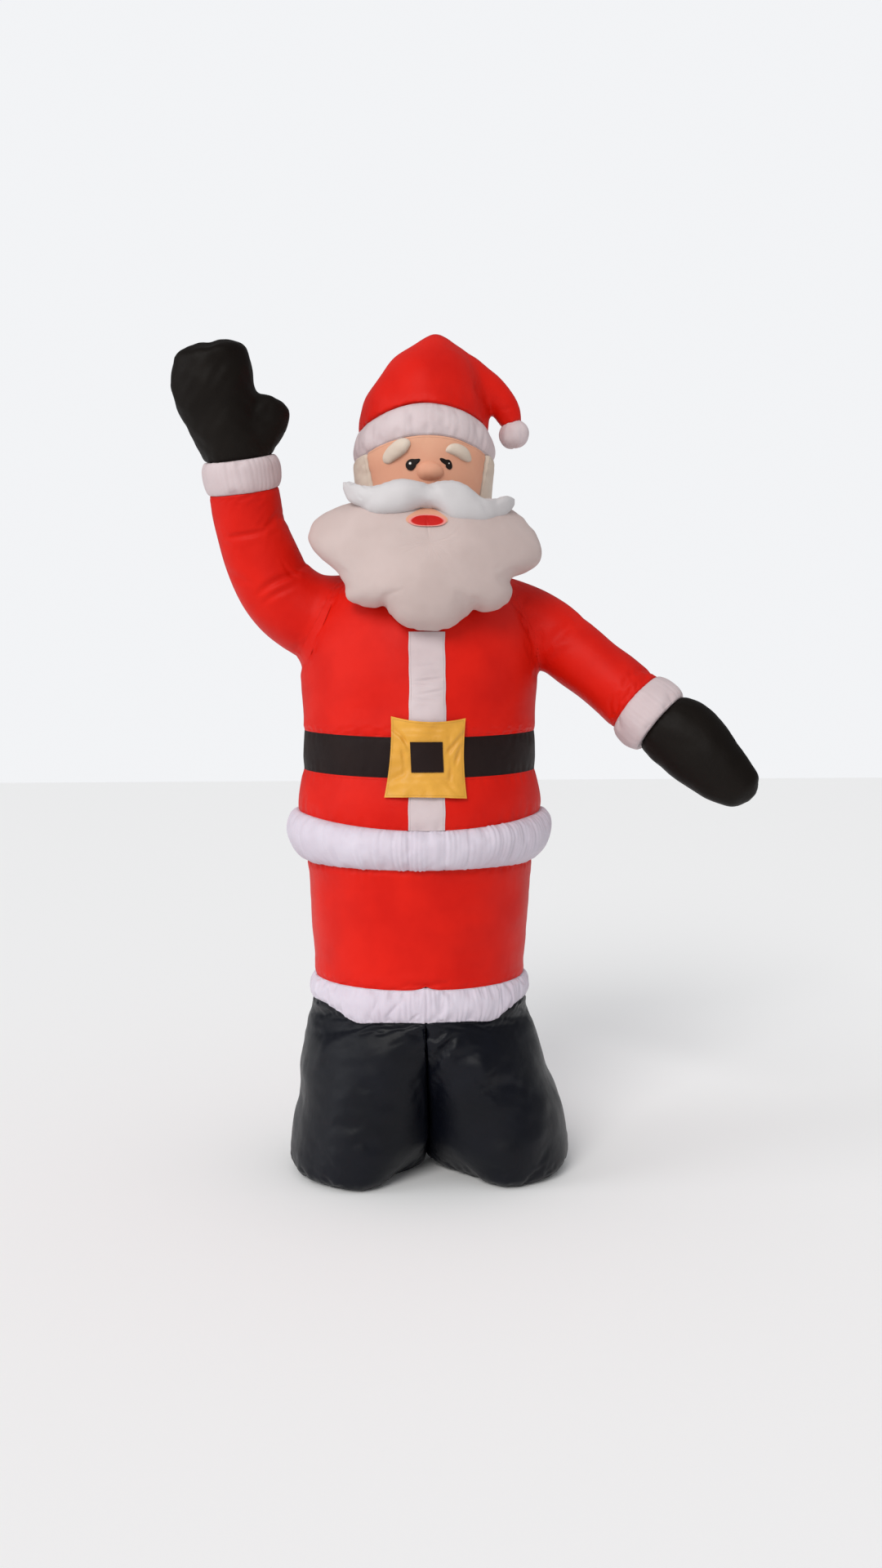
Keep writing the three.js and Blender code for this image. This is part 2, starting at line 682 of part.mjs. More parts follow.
// The part of a form's skin that lies behind an outline: the outline is a THREE.Shape in x and z. layer counts
// the patches that lie under it.
function patch(form, outline, layer) {
  const prism = new THREE.ExtrudeGeometry(outline, { depth: 1000, bevelEnabled: false, curveSegments: 7 });
  prism.rotateX(Math.PI / 2); // the outline's y becomes z, and its depth runs towards -Y
  const above = LIFT + layer * (CLOTH + LIFT);
  const skin = toSolid(grown(form, above + CLOTH)).subtract(toSolid(grown(form, above)));
  return largest(skin.intersect(toSolid(reshape(prism, () => {}))));
}

function rectangle({ x, z, halfWidth, halfHeight, pinch }) {
  const shape = new THREE.Shape();
  shape.moveTo(x - halfWidth, z - halfHeight);
  shape.quadraticCurveTo(x, z - halfHeight + pinch, x + halfWidth, z - halfHeight);
  shape.quadraticCurveTo(x + halfWidth - pinch, z, x + halfWidth, z + halfHeight);
  shape.quadraticCurveTo(x, z + halfHeight - 2 * pinch, x - halfWidth, z + halfHeight);
  shape.quadraticCurveTo(x - halfWidth + pinch, z, x - halfWidth, z - halfHeight);
  return shape;
}

function oval({ x, z, turn }) {
  const shape = new THREE.Shape();
  shape.absellipse(x, z, EYE.halfWidth, EYE.halfHeight, 0, 2 * Math.PI, false, radians(turn));
  return shape;
}

// A mouth: half an oval that stands on a slightly rounded foot.
function arch({ x, z, halfWidth, height, foot }) {
  const shape = new THREE.Shape();
  shape.absellipse(x, z, halfWidth, height, 0, Math.PI, false, 0);
  shape.quadraticCurveTo(x, z - 2 * foot, x + halfWidth, z);
  return shape;
}

// The whole torso as one form on the same rings as its panels, for what is sewn across them.
const torso = drum(
  [SKIRT_BOTTOM - 60, ...steps(SKIRT_BOTTOM, BELT_BOTTOM, 2), ...jacketLevels],
  (z) => levelRing(body(z), z),
  AROUND,
);

function strip(low, high) {
  const [z, halfHeight] = [(low + high) / 2, (high - low) / 2];
  return rectangle({ x: PLACKET.x, z, halfWidth: PLACKET.width / 2, halfHeight, pinch: 0 });
}

const upperStrip = patch(torso, strip(BELT_TOP, PLACKET.top), 0);
const lowerStrip = patch(torso, strip(PLACKET.foot, BELT_BOTTOM), 0);
add("placket_upper", toGeometry(clearOf(upperStrip, beard)), "white");
add("placket_lower", toGeometry(clearOf(lowerStrip, jacketTrim)), "white");
add("buckle", toGeometry(patch(torso, rectangle(BUCKLE), 1)), "gold");
add("buckle_centre", toGeometry(patch(torso, rectangle(BUCKLE_CENTRE), 2)), "black");

const brows = BROWS.map((row) => figure.getObjectByName(row.name).geometry);
for (const row of EYES) {
  const eye = clearOf(patch(headForm(0), oval(row), 0), noseWhole, ...brows);
  add(row.name, toGeometry(largest(eye)), "black");
}

for (const [name, outline, layer, cloth] of [
  ["mouth", arch(MOUTH), 0, "skin"],
  ["lips", arch(LIPS), 1, "lip"],
]) {
  const cut = clearOf(patch(beardWhole, outline, layer), moustache);
  add(name, toGeometry(largest(cut)), cloth);
}

// The origin goes to the ground under the middle of the figure's box.
const box = new THREE.Box3().setFromObject(figure);
const centre = box.getCenter(new THREE.Vector3());
figure.position.set(-centre.x, -centre.y, -box.min.z);

export default figure;
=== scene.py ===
"""An air-filled Santa figure, 2.4 m tall, sewn from thin coated cloth.

Every chamber, trim and patch is worked out here as a cloth surface: a grid of points around and along the
piece, with the puckers at its seams, its creases and its unevenness pushed into it. The tables hold
millimetres, measured from the axis of the body on the ground. The figure faces -Y and its left hand is towards
+X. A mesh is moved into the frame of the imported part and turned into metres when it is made.
"""

from __future__ import annotations

import logging
import math
import sys
from collections.abc import Callable, Sequence
from dataclasses import dataclass, field
from enum import Enum
from functools import lru_cache

import bpy
import numpy as np
from numpy.typing import NDArray
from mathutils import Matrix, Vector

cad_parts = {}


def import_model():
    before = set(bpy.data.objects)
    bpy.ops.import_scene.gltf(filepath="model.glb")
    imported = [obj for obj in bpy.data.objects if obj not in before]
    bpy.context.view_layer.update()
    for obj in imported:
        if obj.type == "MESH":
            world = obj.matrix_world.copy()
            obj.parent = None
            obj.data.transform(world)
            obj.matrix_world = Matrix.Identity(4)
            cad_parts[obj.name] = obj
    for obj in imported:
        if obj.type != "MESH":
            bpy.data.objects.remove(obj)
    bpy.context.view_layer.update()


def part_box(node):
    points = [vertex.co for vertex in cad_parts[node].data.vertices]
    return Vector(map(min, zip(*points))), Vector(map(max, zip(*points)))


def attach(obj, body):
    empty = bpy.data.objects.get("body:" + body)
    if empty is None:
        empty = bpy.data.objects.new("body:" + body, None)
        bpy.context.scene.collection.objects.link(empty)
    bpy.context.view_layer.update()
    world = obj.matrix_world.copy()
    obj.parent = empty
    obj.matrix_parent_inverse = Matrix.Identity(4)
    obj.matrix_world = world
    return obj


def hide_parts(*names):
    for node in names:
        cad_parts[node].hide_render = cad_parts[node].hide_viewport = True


Array = NDArray[np.float64]
Table = Sequence[Sequence[float]]
Front = Callable[[Array, Array], Array]  # where a surface lies in front, from x and z
LOG = logging.getLogger("santa")
TAU = 2 * math.pi
MM = 0.001  # metres in a millimetre
FAR = 500.0  # a distance from a seam past which nothing of the seam shows


# ---- Curves, noise and pleats ----


class Curve:
    """A natural cubic spline through the rows of a table, whose first column says where each row stands."""

    def __init__(self, table: Table | Array) -> None:
        """Solves for the bend at each row, which is nought at both ends.

        Args:
            table: rows of a place and the values there.
        """
        rows = np.asarray(table, float)
        self.at, self.values = rows[:, 0], rows[:, 1:]
        step = np.diff(self.at)
        inner = np.arange(1, len(self.at) - 1)
        system = np.eye(len(self.at))
        system[inner, inner - 1] = step[:-1]
        system[inner, inner] = 2 * (step[:-1] + step[1:])
        system[inner, inner + 1] = step[1:]
        right = np.zeros_like(self.values)
        right[inner] = 6 * np.diff(np.diff(self.values, axis=0) / step[:, None], axis=0)
        self.bend = np.linalg.solve(system, right)

    def __call__(self, where: Array | float) -> Array:
        """Reads the columns at some places, which are held between the first and the last row.

        Args:
            where: any shape of places.

        Returns:
            The columns along one more axis, or without it where there is only one.
        """
        t = np.clip(np.asarray(where, float), self.at[0], self.at[-1])
        i = np.clip(np.searchsorted(self.at, t, side="right") - 1, 0, len(self.at) - 2)
        step = self.at[i + 1] - self.at[i]
        b = ((t - self.at[i]) / step)[..., None]
        a = 1 - b
        curved = (a**3 - a) * self.bend[i] + (b**3 - b) * self.bend[i + 1]
        out = a * self.values[i] + b * self.values[i + 1] + curved * (step[..., None] ** 2) / 6
        return out[..., 0] if out.shape[-1] == 1 else out


def mixed(low: Array | float, high: Array | float, share: Array | float) -> Array:
    """A straight blend from low, at share 0, to high, at share 1."""
    return low + (high - low) * share


def eased(value: Array | float, start: float, end: float) -> Array:
    """A smooth step: 0 before start, 1 after end, with a level start and finish in between."""
    t = np.clip((np.asarray(value, float) - start) / (end - start), 0, 1)
    return t * t * (3 - 2 * t)


def tightened(even: Array, strength: float) -> Array:
    """Shares from 0 to 1 that lie closer together at both ends: a sine wave is taken off the even ones."""
    return even - strength * np.sin(TAU * even) / TAU


def turns(count: int) -> Array:
    """Even shares of a turn from 0 up to 1, as one row."""
    return np.linspace(0, 1, count, endpoint=False)[None, :]


def steps(count: int) -> Array:
    """Even shares from 0 to 1, as one column."""
    return np.linspace(0, 1, count)[:, None]


def xyz(*parts: Array | float) -> Array:
    """Places from their x, y and z, which are blended to one shape."""
    return np.stack(np.broadcast_arrays(*parts), axis=-1)


def unit(vectors: Array) -> Array:
    """The same directions with a length of one."""
    return vectors / np.maximum(np.linalg.norm(vectors, axis=-1, keepdims=True), 1e-9)


def unevenness(points: Array, length: float, seed: int) -> Array:
    """Smooth noise in space: a sum of flat waves with random directions, about one unit high.

    Args:
        points: places, with x, y and z on the last axis.
        length: the middle wave length.
        seed: which pattern of waves.

    Returns:
        The noise at each place.
    """
    rng, count = np.random.default_rng(seed), 20
    direction = rng.normal(size=(count, 3))
    direction /= np.linalg.norm(direction, axis=1, keepdims=True)
    number = TAU / (length * rng.uniform(0.7, 1.5, count))
    phase = rng.uniform(0, TAU, count)
    return np.cos(points @ (direction * number[:, None]).T + phase).sum(-1) * math.sqrt(2 / count)


def pleats(share: Array, count: float, seed: int, drift: Array | float = 0.0) -> Array:
    """Uneven pleats across a seam: the size, without its sign, of a sum of cosines that closes on itself.

    Args:
        share: how far around the piece, from 0 to 1.
        count: about how many waves go around.
        seed: which pattern.
        drift: how far the pleats have wandered from their pattern at the seam.

    Returns:
        The height of the pleats, about one unit from crest to valley, with a mean of nought.
    """
    rng, waves = np.random.default_rng(seed), 9
    number = np.maximum(1, np.round(count * rng.uniform(0.3, 0.75, waves)))
    phase = rng.uniform(0, TAU, waves)
    rate = rng.normal(size=waves)
    total = np.zeros(np.broadcast(share, drift).shape)
    for n, start, turn in zip(number, phase, rate):
        total = total + np.cos(TAU * n * share + start + turn * drift)
    return np.sqrt((total**2) * 2 / waves + 0.02) - 0.8


@dataclass(frozen=True)
class Seam:
    """A sewn line around a piece, and the puckers that it draws the cloth into.

    Attributes:
        length: how long it is.
        seed: its pattern of puckers. Two panels that share a seam share its seed.
        strength: how strongly the thread draws the cloth in.
        groove: how deep the cloth dips at the thread.
    """

    length: float
    seed: int
    strength: float = 1.0
    groove: float = 2.0

    def puckers(self, share: Array, distance: Array) -> Array:
        """Three sizes of pleats that each die away from the seam.

        Args:
            share: how far along the seam, from 0 to 1.
            distance: how far from it.

        Returns:
            The height of the cloth over its smooth form.
        """
        fine = 0.5 * np.exp(-distance / 9) * pleats(share, self.length / 17, self.seed, distance / 12)
        middle = 0.9 * np.exp(-distance / 22) * pleats(share, self.length / 31, self.seed + 1, distance / 22)
        coarse = 0.8 * np.exp(-distance / 60) * pleats(share, self.length / 64, self.seed + 2, distance / 50)
        return self.strength * (fine + middle + coarse) - self.groove * np.exp(-distance / 5)


def crease(offset: Array, width: float, window: Array | float = 1.0) -> Array:
    """A valley one unit deep with a low ridge on each side, -(1 - 1.1 x^2) exp(-x^2), times the window."""
    x = (offset / width) ** 2
    return -(1 - 1.1 * x) * np.exp(-x) * window


def ruck(offset: Array, width: float, depth: float, away: Array, reach: float) -> Array:
    """A crease with a width and a depth that dies away as a bell curve, exp(-(away / reach)^2), along its line."""
    return depth * crease(offset, width) * np.exp(-((away / reach) ** 2))


# ---- Cloth surfaces and their meshes ----


def grid_normals(points: Array) -> Array:
    """The unit directions across a grid that is closed around: the cross products of its two tangents."""
    around = np.roll(points, -1, axis=1) - np.roll(points, 1, axis=1)
    return unit(np.cross(around, np.gradient(points, axis=0)))


@dataclass
class Skin:
    """A closed cloth surface on a grid: rows from one end to the other, and columns once around.

    Attributes:
        points: rows by columns by x, y and z. Columns turn anticlockwise seen from the last row.
        seam: how far each point is from its nearest seam, for the stitches.
        around: the length around, for the stitches.
        share: how far around each point is, from 0 to 1, or nothing where the columns are even.
    """

    points: Array
    seam: Array | float = FAR
    around: float = 1000.0
    share: Array | None = None

    def __post_init__(self) -> None:
        """Spreads the seam's distance and the shares over the grid."""
        size = self.points.shape[:2]
        self.seam = np.broadcast_to(self.seam, size)
        self.share = np.broadcast_to(turns(size[1]) if self.share is None else self.share, size)

    def push(self, height: Array) -> Skin:
        """Moves each point outwards by a height, and returns the skin."""
        self.points = self.points + grid_normals(self.points) * height[..., None]
        return self

    def sample(self, row: Array, column: Array) -> Array:
        """Points between those of the grid: a straight blend of the four around each place.

        Args:
            row: how many rows up, with fractions.
            column: how many columns around, with fractions.

        Returns:
            The points.
        """
        rows, columns = self.points.shape[:2]
        i = np.clip(np.floor(row).astype(int), 0, rows - 2)
        j = np.floor(column).astype(int)
        a, b = (row - i)[..., None], (column - j)[..., None]
        low, high = (
            mixed(self.points[k, j % columns], self.points[k, (j + 1) % columns], b) for k in (i, i + 1)
        )
        return mixed(low, high, a)

    def aired(self, share: float = 1.0, held: Array | None = None) -> Skin:
        """Lets the air in, and adds the wrinkles that it leaves.

        A coarser grid of the same surface is simulated. How far each of its points moved outwards is carried
        back to the fine grid along smooth curves, first around the piece and then along it.

        Args:
            share: how much of the wrinkles' height is kept.
            held: which points the thread holds, or those at the seams and at both ends.

        Returns:
            This skin.
        """
        rows, columns = self.points.shape[:2]
        long = np.linalg.norm(np.diff(self.points, axis=0), axis=-1).sum(axis=0).max()
        wide = np.linalg.norm(np.roll(self.points, -1, axis=1) - self.points, axis=-1).sum(axis=1).max()
        up = np.unique(np.linspace(0, rows - 1, min(rows, max(8, int(long / AIR.cell)))).round().astype(int))
        fewer = columns if columns < 40 else min(columns, max(32, int(wide / AIR.cell)))
        by = np.linspace(0, columns, fewer, endpoint=False).round().astype(int)
        if held is None:
            held = self.seam < 4
            held[[0, -1]] = True
        still = held[up][:, by]
        coarse = Skin(self.points[up][:, by]).shape()
        out = AIR.wrinkles(coarse, np.append(still.reshape(-1), [True, True]))[:-2].reshape(still.shape)
        beyond = np.concatenate([by[-3:] - columns, by, by[:3] + columns])
        ring = np.concatenate([out[:, -3:], out, out[:, :3]], axis=1)
        around = Curve(np.column_stack([beyond, ring.T]))(np.arange(columns))
        return self.push(share * Curve(np.column_stack([up, around.T]))(np.arange(rows)))

    def shape(self) -> Shape:
        """The surface as loose points and faces: the quads of the grid, and a fan to a pole at each end."""
        rows, columns = self.points.shape[:2]
        row, column = np.mgrid[0 : rows - 1, 0:columns]
        beside = (column + 1) % columns
        corners = [row * columns + column, row * columns + beside]
        corners += [(row + 1) * columns + beside, (row + 1) * columns + column]
        ring = np.arange(columns)
        following = (ring + 1) % columns
        top = (rows - 1) * columns
        first = np.stack([np.full(columns, rows * columns), following, ring], axis=-1)
        last = np.stack([np.full(columns, rows * columns + 1), top + ring, top + following], axis=-1)
        faces = [np.stack(corners, axis=-1).reshape(-1, 4), np.concatenate([first, last])]
        points = np.concatenate([self.points.reshape(-1, 3), self.points[[0, -1]].mean(axis=1)])
        step = np.linalg.norm(np.diff(self.points, axis=0), axis=-1).mean(axis=1)
        level = np.concatenate([[0.0], np.cumsum(step)])
        values = {
            "seam": np.append(self.seam.reshape(-1), [FAR, FAR]),
            "along": np.append((self.share * self.around).reshape(-1), [0.0, 0.0]),
            "down": np.append(np.repeat(level, columns), [level[0], level[-1]]),
        }
        return Shape(points, faces, values, self.around)


@dataclass
class Shape:
    """Points, faces and the values that a finish reads at each point.

    Attributes:
        points: places in millimetres.
        faces: blocks of faces with the same number of corners.
        values: named numbers for each point. The cloth's map is along and down.
        around: the length after which along starts again at nought.
    """

    points: Array
    faces: list[Array]
    values: dict[str, Array] = field(default_factory=dict)
    around: float = 1e9

    def turned_out(self) -> Shape:
        """The same shape with its faces outwards: they are reversed if its signed volume is negative."""
        volume = 0.0
        for block in self.faces:
            first = self.points[block[:, 0]]
            for i in range(1, block.shape[1] - 1):
                cross = np.cross(self.points[block[:, i]], self.points[block[:, i + 1]])
                volume += float((first * cross).sum())
        if volume < 0:
            self.faces = [block[:, ::-1] for block in self.faces]
        return self

    def normals(self) -> Array:
        """The unit direction out of the shape at each point: the sum of its faces' area vectors there."""
        total = np.zeros_like(self.points)
        for block in self.faces:
            corners = self.points[block]
            area = np.cross(corners[:, 2] - corners[:, 0], corners[:, -1] - corners[:, 1])
            for column in block.T:
                np.add.at(total, column, area)
        return unit(total)

    def push(self, height: Array) -> Shape:
        """Moves each point outwards by a height, and returns the shape."""
        self.points = self.points + self.turned_out().normals() * height[:, None]
        return self

    def aired(self, held: Array, share: float) -> Shape:
        """Lets the air in, adds the wrinkles that it leaves, and divides each face in four and rounds it.

        Args:
            held: which of its points the thread holds.
            share: how much of the wrinkles' height is kept.

        Returns:
            The finer shape.
        """
        self.push(share * AIR.wrinkles(self, held))
        body = self.body("refined")
        finer = body.modifiers.new("finer", "SUBSURF")
        finer.levels = finer.render_levels = 1
        return taken_back(body).turned_out()

    def bare(self, name: str, origin: Array | float = 0.0) -> bpy.types.Mesh:
        """A mesh in metres with the shape's faces and its points, moved by an origin."""
        mesh = bpy.data.meshes.new(name)
        faces = [face for block in self.faces for face in block.tolist()]
        mesh.from_pydata((self.points * MM + origin).tolist(), [], faces)
        return mesh

    def body(self, name: str) -> bpy.types.Object:
        """A loose object in the scene with the shape's bare mesh, for a modifier to work on."""
        body = bpy.data.objects.new(name, self.bare(name))
        bpy.context.scene.collection.objects.link(body)
        return body

    def map(self) -> Array:
        """The cloth's map in metres at each corner of each face, without a jump where along starts again."""
        parts = []
        for block in self.faces:
            across = self.values["along"][block]
            jumps = np.ptp(across, axis=1, keepdims=True) > self.around / 2
            across = np.where(jumps & (across < self.around / 2), across + self.around, across)
            parts.append(np.stack([across, self.values["down"][block]], axis=-1).reshape(-1, 2))
        return np.concatenate(parts) * MM

    def mesh(self, name: str, origin: Array) -> bpy.types.Mesh:
        """A smooth-shaded mesh in metres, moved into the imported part's frame.

        Args:
            name: the mesh's name.
            origin: where the axis of the body stands in that frame, in metres.

        Returns:
            The new mesh, with the named values as attributes of its points.
        """
        mesh = self.turned_out().bare(name, origin)
        for key, value in self.values.items():
            attribute = mesh.attributes.new(key, "FLOAT", "POINT")
            attribute.data.foreach_set("value", np.asarray(value, np.float32))
        layer = mesh.uv_layers.new(name="UVMap")
        layer.data.foreach_set("uv", self.map().astype(np.float32).ravel())
        mesh.shade_smooth()
        mesh.set_sharp_from_angle(angle=math.radians(65))
        return mesh


def taken_back(body: bpy.types.Object) -> Shape:
    """The shape that an object has with its modifiers, after which the object is removed."""
    whole = body.evaluated_get(bpy.context.evaluated_depsgraph_get()).to_mesh()
    places = np.zeros(len(whole.vertices) * 3, np.float32)
    whole.vertices.foreach_get("co", places)
    corners = np.zeros(len(whole.loops), np.int32)
    whole.loops.foreach_get("vertex_index", corners)
    sizes = np.zeros(len(whole.polygons), np.int32)
    whole.polygons.foreach_get("loop_total", sizes)
    starts = np.concatenate([[0], np.cumsum(sizes)[:-1]])
    blocks = [corners[starts[sizes == n][:, None] + np.arange(n)] for n in np.unique(sizes)]
    mesh = body.data
    bpy.data.objects.remove(body)
    bpy.data.meshes.remove(mesh)
    return Shape(places.reshape(-1, 3).astype(float) / MM, blocks)


def one_skin(shapes: Sequence[Shape], voxel: float, rounds: int) -> Shape:
    """One closed skin around several forms that overlap: remeshed in small cubes, and relaxed where they meet.

    Args:
        shapes: closed forms.
        voxel: the size of the cubes, in millimetres.
        rounds: how often each point moves towards the middle of its neighbours.

    Returns:
        The skin.
    """
    points = np.concatenate([shape.turned_out().points for shape in shapes])
    firsts = np.cumsum([0] + [len(shape.points) for shape in shapes[:-1]])
    faces = [block + first for shape, first in zip(shapes, firsts) for block in shape.faces]
    body = Shape(points, faces).body("forms")
    remesh = body.modifiers.new("remesh", "REMESH")
    remesh.mode = "VOXEL"
    remesh.voxel_size = voxel * MM
    relax = body.modifiers.new("relax", "SMOOTH")
    relax.factor = 0.5
    relax.iterations = rounds
    return taken_back(body)


@dataclass(frozen=True)
class Air:
    """The air in a sewn form: cloth a little longer than the form, held at its seams, under pressure.

    Attributes:
        cell: the size of the simulated cells, in millimetres.
        frames: how many frames the simulation runs.
        pressure: how hard the air presses.
        slack: how much longer the cloth is than the form, as a share.
        spread: how many rounds of averaging find the smooth part of a movement.
        cap: the farthest that a wrinkle moves a point, in millimetres.
    """

    cell: float = 15.0
    frames: int = 18
    pressure: float = 4.0
    slack: float = 0.03
    spread: int = 30
    cap: float = 9.0

    def settled(self, shape: Shape, held: Array) -> Array:
        """Runs the cloth.

        Args:
            shape: the closed form.
            held: which points the thread holds.

        Returns:
            Where each point comes to rest, in millimetres.
        """
        body = shape.body("aired")
        group = body.vertex_groups.new(name="held")
        group.add(np.nonzero(held)[0].tolist(), 1.0, "REPLACE")
        cloth = body.modifiers.new("air", "CLOTH")
        settings = cloth.settings
        settings.quality = 4
        settings.mass = 0.15
        settings.tension_stiffness = 15.0
        settings.compression_stiffness = settings.shear_stiffness = 5.0
        settings.bending_stiffness = 0.05
        settings.shrink_min = -self.slack
        settings.vertex_group_mass = "held"
        settings.use_pressure = True
        settings.uniform_pressure_force = self.pressure
        settings.effector_weights.gravity = 0.0
        cloth.collision_settings.use_collision = False
        cloth.point_cache.frame_end = self.frames
        for frame in range(1, self.frames + 1):
            bpy.context.scene.frame_set(frame)
        places = taken_back(body).points
        bpy.context.scene.frame_set(1)
        return places

    def wrinkles(self, shape: Shape, held: Array) -> Array:
        """How far each point stands out when the air is in, less the same averaged over its neighbours.

        Args:
            shape: the closed form.
            held: which points the thread holds.

        Returns:
            The heights, in millimetres.
        """
        shape.turned_out()
        out = ((self.settled(shape, held) - shape.points) * shape.normals()).sum(axis=-1)
        pairs = [np.stack([block, np.roll(block, -1, axis=1)], axis=-1).reshape(-1, 2) for block in shape.faces]
        one, other = np.concatenate(pairs).T
        count = np.maximum(np.bincount(one, minlength=len(out)), 1)
        smooth = out
        for _ in range(self.spread):
            smooth = (smooth + np.bincount(one, smooth[other], len(out)) / count) / 2
        height = np.where(held, 0.0, out - smooth)
        LOG.info("air: %d points, wrinkles %.1f mm, swelling %.1f mm", len(out), height.std(), smooth.mean())
        return self.cap * np.tanh(height / self.cap)


AIR = Air()


# ---- Finishes ----

STITCH_LINE, STITCH_HALF = 5.0, 0.55  # how far a line of stitches lies from its seam, and half its width
STITCH_STEP, STITCH_SHARE = 4.2, 0.7  # from one stitch to the next, and the share of it that is thread
THREADS = 0.001  # across two threads of the weave, in metres

Colour = tuple[float, float, float]


class Nodes:
    """A short way to put shader nodes into a material."""

    def __init__(self, tree: bpy.types.NodeTree) -> None:
        """Takes the tree that the nodes go into."""
        self.tree = tree

    def add(self, kind: str, inputs: dict | None = None, **settings: object) -> bpy.types.Node:
        """Adds a node.

        Args:
            kind: the node's type, without its ShaderNode.
            inputs: for each input, by name or number, a value or the output that it is linked to.
            settings: the node's own settings.

        Returns:
            The new node.
        """
        node = self.tree.nodes.new("ShaderNode" + kind)
        for key, value in settings.items():
            setattr(node, key, value)
        for key, value in (inputs or {}).items():
            if isinstance(value, bpy.types.NodeSocket):
                self.tree.links.new(value, node.inputs[key])
            else:
                node.inputs[key].default_value = value
        return node

    def math(self, operation: str, *values: object) -> bpy.types.NodeSocket:
        """The result of an operation on one, two or three values, which are numbers or outputs."""
        return self.add("Math", dict(enumerate(values)), operation=operation).outputs[0]

    def read(self, name: str) -> bpy.types.NodeSocket:
        """One of the numbers that a piece has at each of its points."""
        return self.add("Attribute", attribute_name=name).outputs["Fac"]

    def mix(self, share: bpy.types.NodeSocket, low: object, high: Colour) -> bpy.types.NodeSocket:
        """A blend from a colour or an output, at share 0, to a colour, at share 1."""
        low = (*low, 1) if isinstance(low, tuple) else low
        return self.add("Mix", {0: share, 6: low, 7: (*high, 1)}, data_type="RGBA").outputs[2]


@dataclass(frozen=True)
class Finish:
    """Thin woven cloth, coated on one side, in one colour.

    Attributes:
        name: the material's name.
        colour: the middle colour, as linear red, green and blue.
        shade: the colour that it wanders towards in faint patches.
        roughness: how soft its shine is.
        shine: how strongly it reflects.
        crinkle: how high its small crinkles stand, in millimetres.
        glow: how much light goes a little way through it.
        thread: how much lighter or darker its stitches are than the cloth.
        spot: a second colour where the piece's spot value is 1: the lips' border, and on each eye a painted
            highlight, a white glint dot.
    """

    name: str
    colour: Colour
    shade: Colour
    roughness: float = 0.5
    shine: float = 0.22
    crinkle: float = 0.35
    glow: float = 0.0
    thread: float = 0.75
    spot: Colour | None = None

    def weave(self, nodes: Nodes) -> bpy.types.NodeSocket:
        """The height of the threads, over one and under one: a sine across times a sine along the map."""
        split = nodes.add("SeparateXYZ", {0: nodes.add("UVMap").outputs[0]})
        waves = [nodes.math("SINE", nodes.math("MULTIPLY", split.outputs[i], TAU / THREADS)) for i in (0, 1)]
        return nodes.math("MULTIPLY", *waves)

    def stitches(self, nodes: Nodes) -> bpy.types.NodeSocket:
        """Where the thread of a seam shows: dashes in a line beside the seam."""
        off = nodes.math("ABSOLUTE", nodes.math("SUBTRACT", nodes.read("seam"), STITCH_LINE))
        step = nodes.math("FRACT", nodes.math("MULTIPLY", nodes.read("along"), 1 / STITCH_STEP))
        line = nodes.math("LESS_THAN", off, STITCH_HALF)
        return nodes.math("MULTIPLY", line, nodes.math("LESS_THAN", step, STITCH_SHARE))

    @lru_cache(maxsize=None)
    def material(self) -> bpy.types.Material:
        """The cloth as a material: faint patches of shade, woven threads, small crinkles and stitches."""
        made = bpy.data.materials.new(self.name)
        made.use_nodes = True
        made.node_tree.nodes.clear()
        nodes = Nodes(made.node_tree)
        place = nodes.add("TexCoord").outputs["Object"]
        patches = nodes.add("TexNoise", {"Vector": place, "Scale": 7.0, "Detail": 3.0, "Roughness": 0.55})
        spread = nodes.add("MapRange", {0: patches.outputs[0], 1: 0.35, 2: 0.7})
        stitches = self.stitches(nodes)
        thread = tuple(min(1.0, c * self.thread) for c in self.colour)
        colour = nodes.mix(stitches, nodes.mix(spread.outputs[0], self.colour, self.shade), thread)
        # The spot colour: the lips' border, and on the eyes a painted highlight, a white glint dot.
        if self.spot:
            colour = nodes.mix(nodes.read("spot"), colour, self.spot)
        fine = nodes.add("TexNoise", {"Vector": place, "Scale": 75.0, "Detail": 4.0, "Distortion": 0.6})
        coarse = nodes.add("TexNoise", {"Vector": place, "Scale": 21.0, "Detail": 2.0, "Distortion": 0.9})
        crinkles = nodes.math("ADD", nodes.math("MULTIPLY", fine.outputs[0], 0.35), coarse.outputs[0])
        bump = nodes.add("Bump", {"Height": crinkles, "Distance": 3 * self.crinkle * MM, "Strength": 0.8})
        bump = nodes.add("Bump", {"Height": stitches, "Distance": 0.0006, "Normal": bump.outputs[0]})
        weave = {"Height": self.weave(nodes), "Distance": 0.00006, "Strength": 0.5, "Normal": bump.outputs[0]}
        bump = nodes.add("Bump", weave)
        rough = nodes.add("MapRange", {0: fine.outputs[0], 3: self.roughness - 0.05, 4: self.roughness + 0.07})
        surface = {
            "Base Color": colour,
            "Roughness": rough.outputs[0],
            "Specular IOR Level": self.shine,
            "Subsurface Weight": self.glow,
            "Subsurface Radius": (1.0, 0.7, 0.6),
            "Subsurface Scale": 0.004,
            "Normal": bump.outputs[0],
        }
        nodes.add("OutputMaterial", {"Surface": nodes.add("BsdfPrincipled", surface).outputs[0]})
        return made


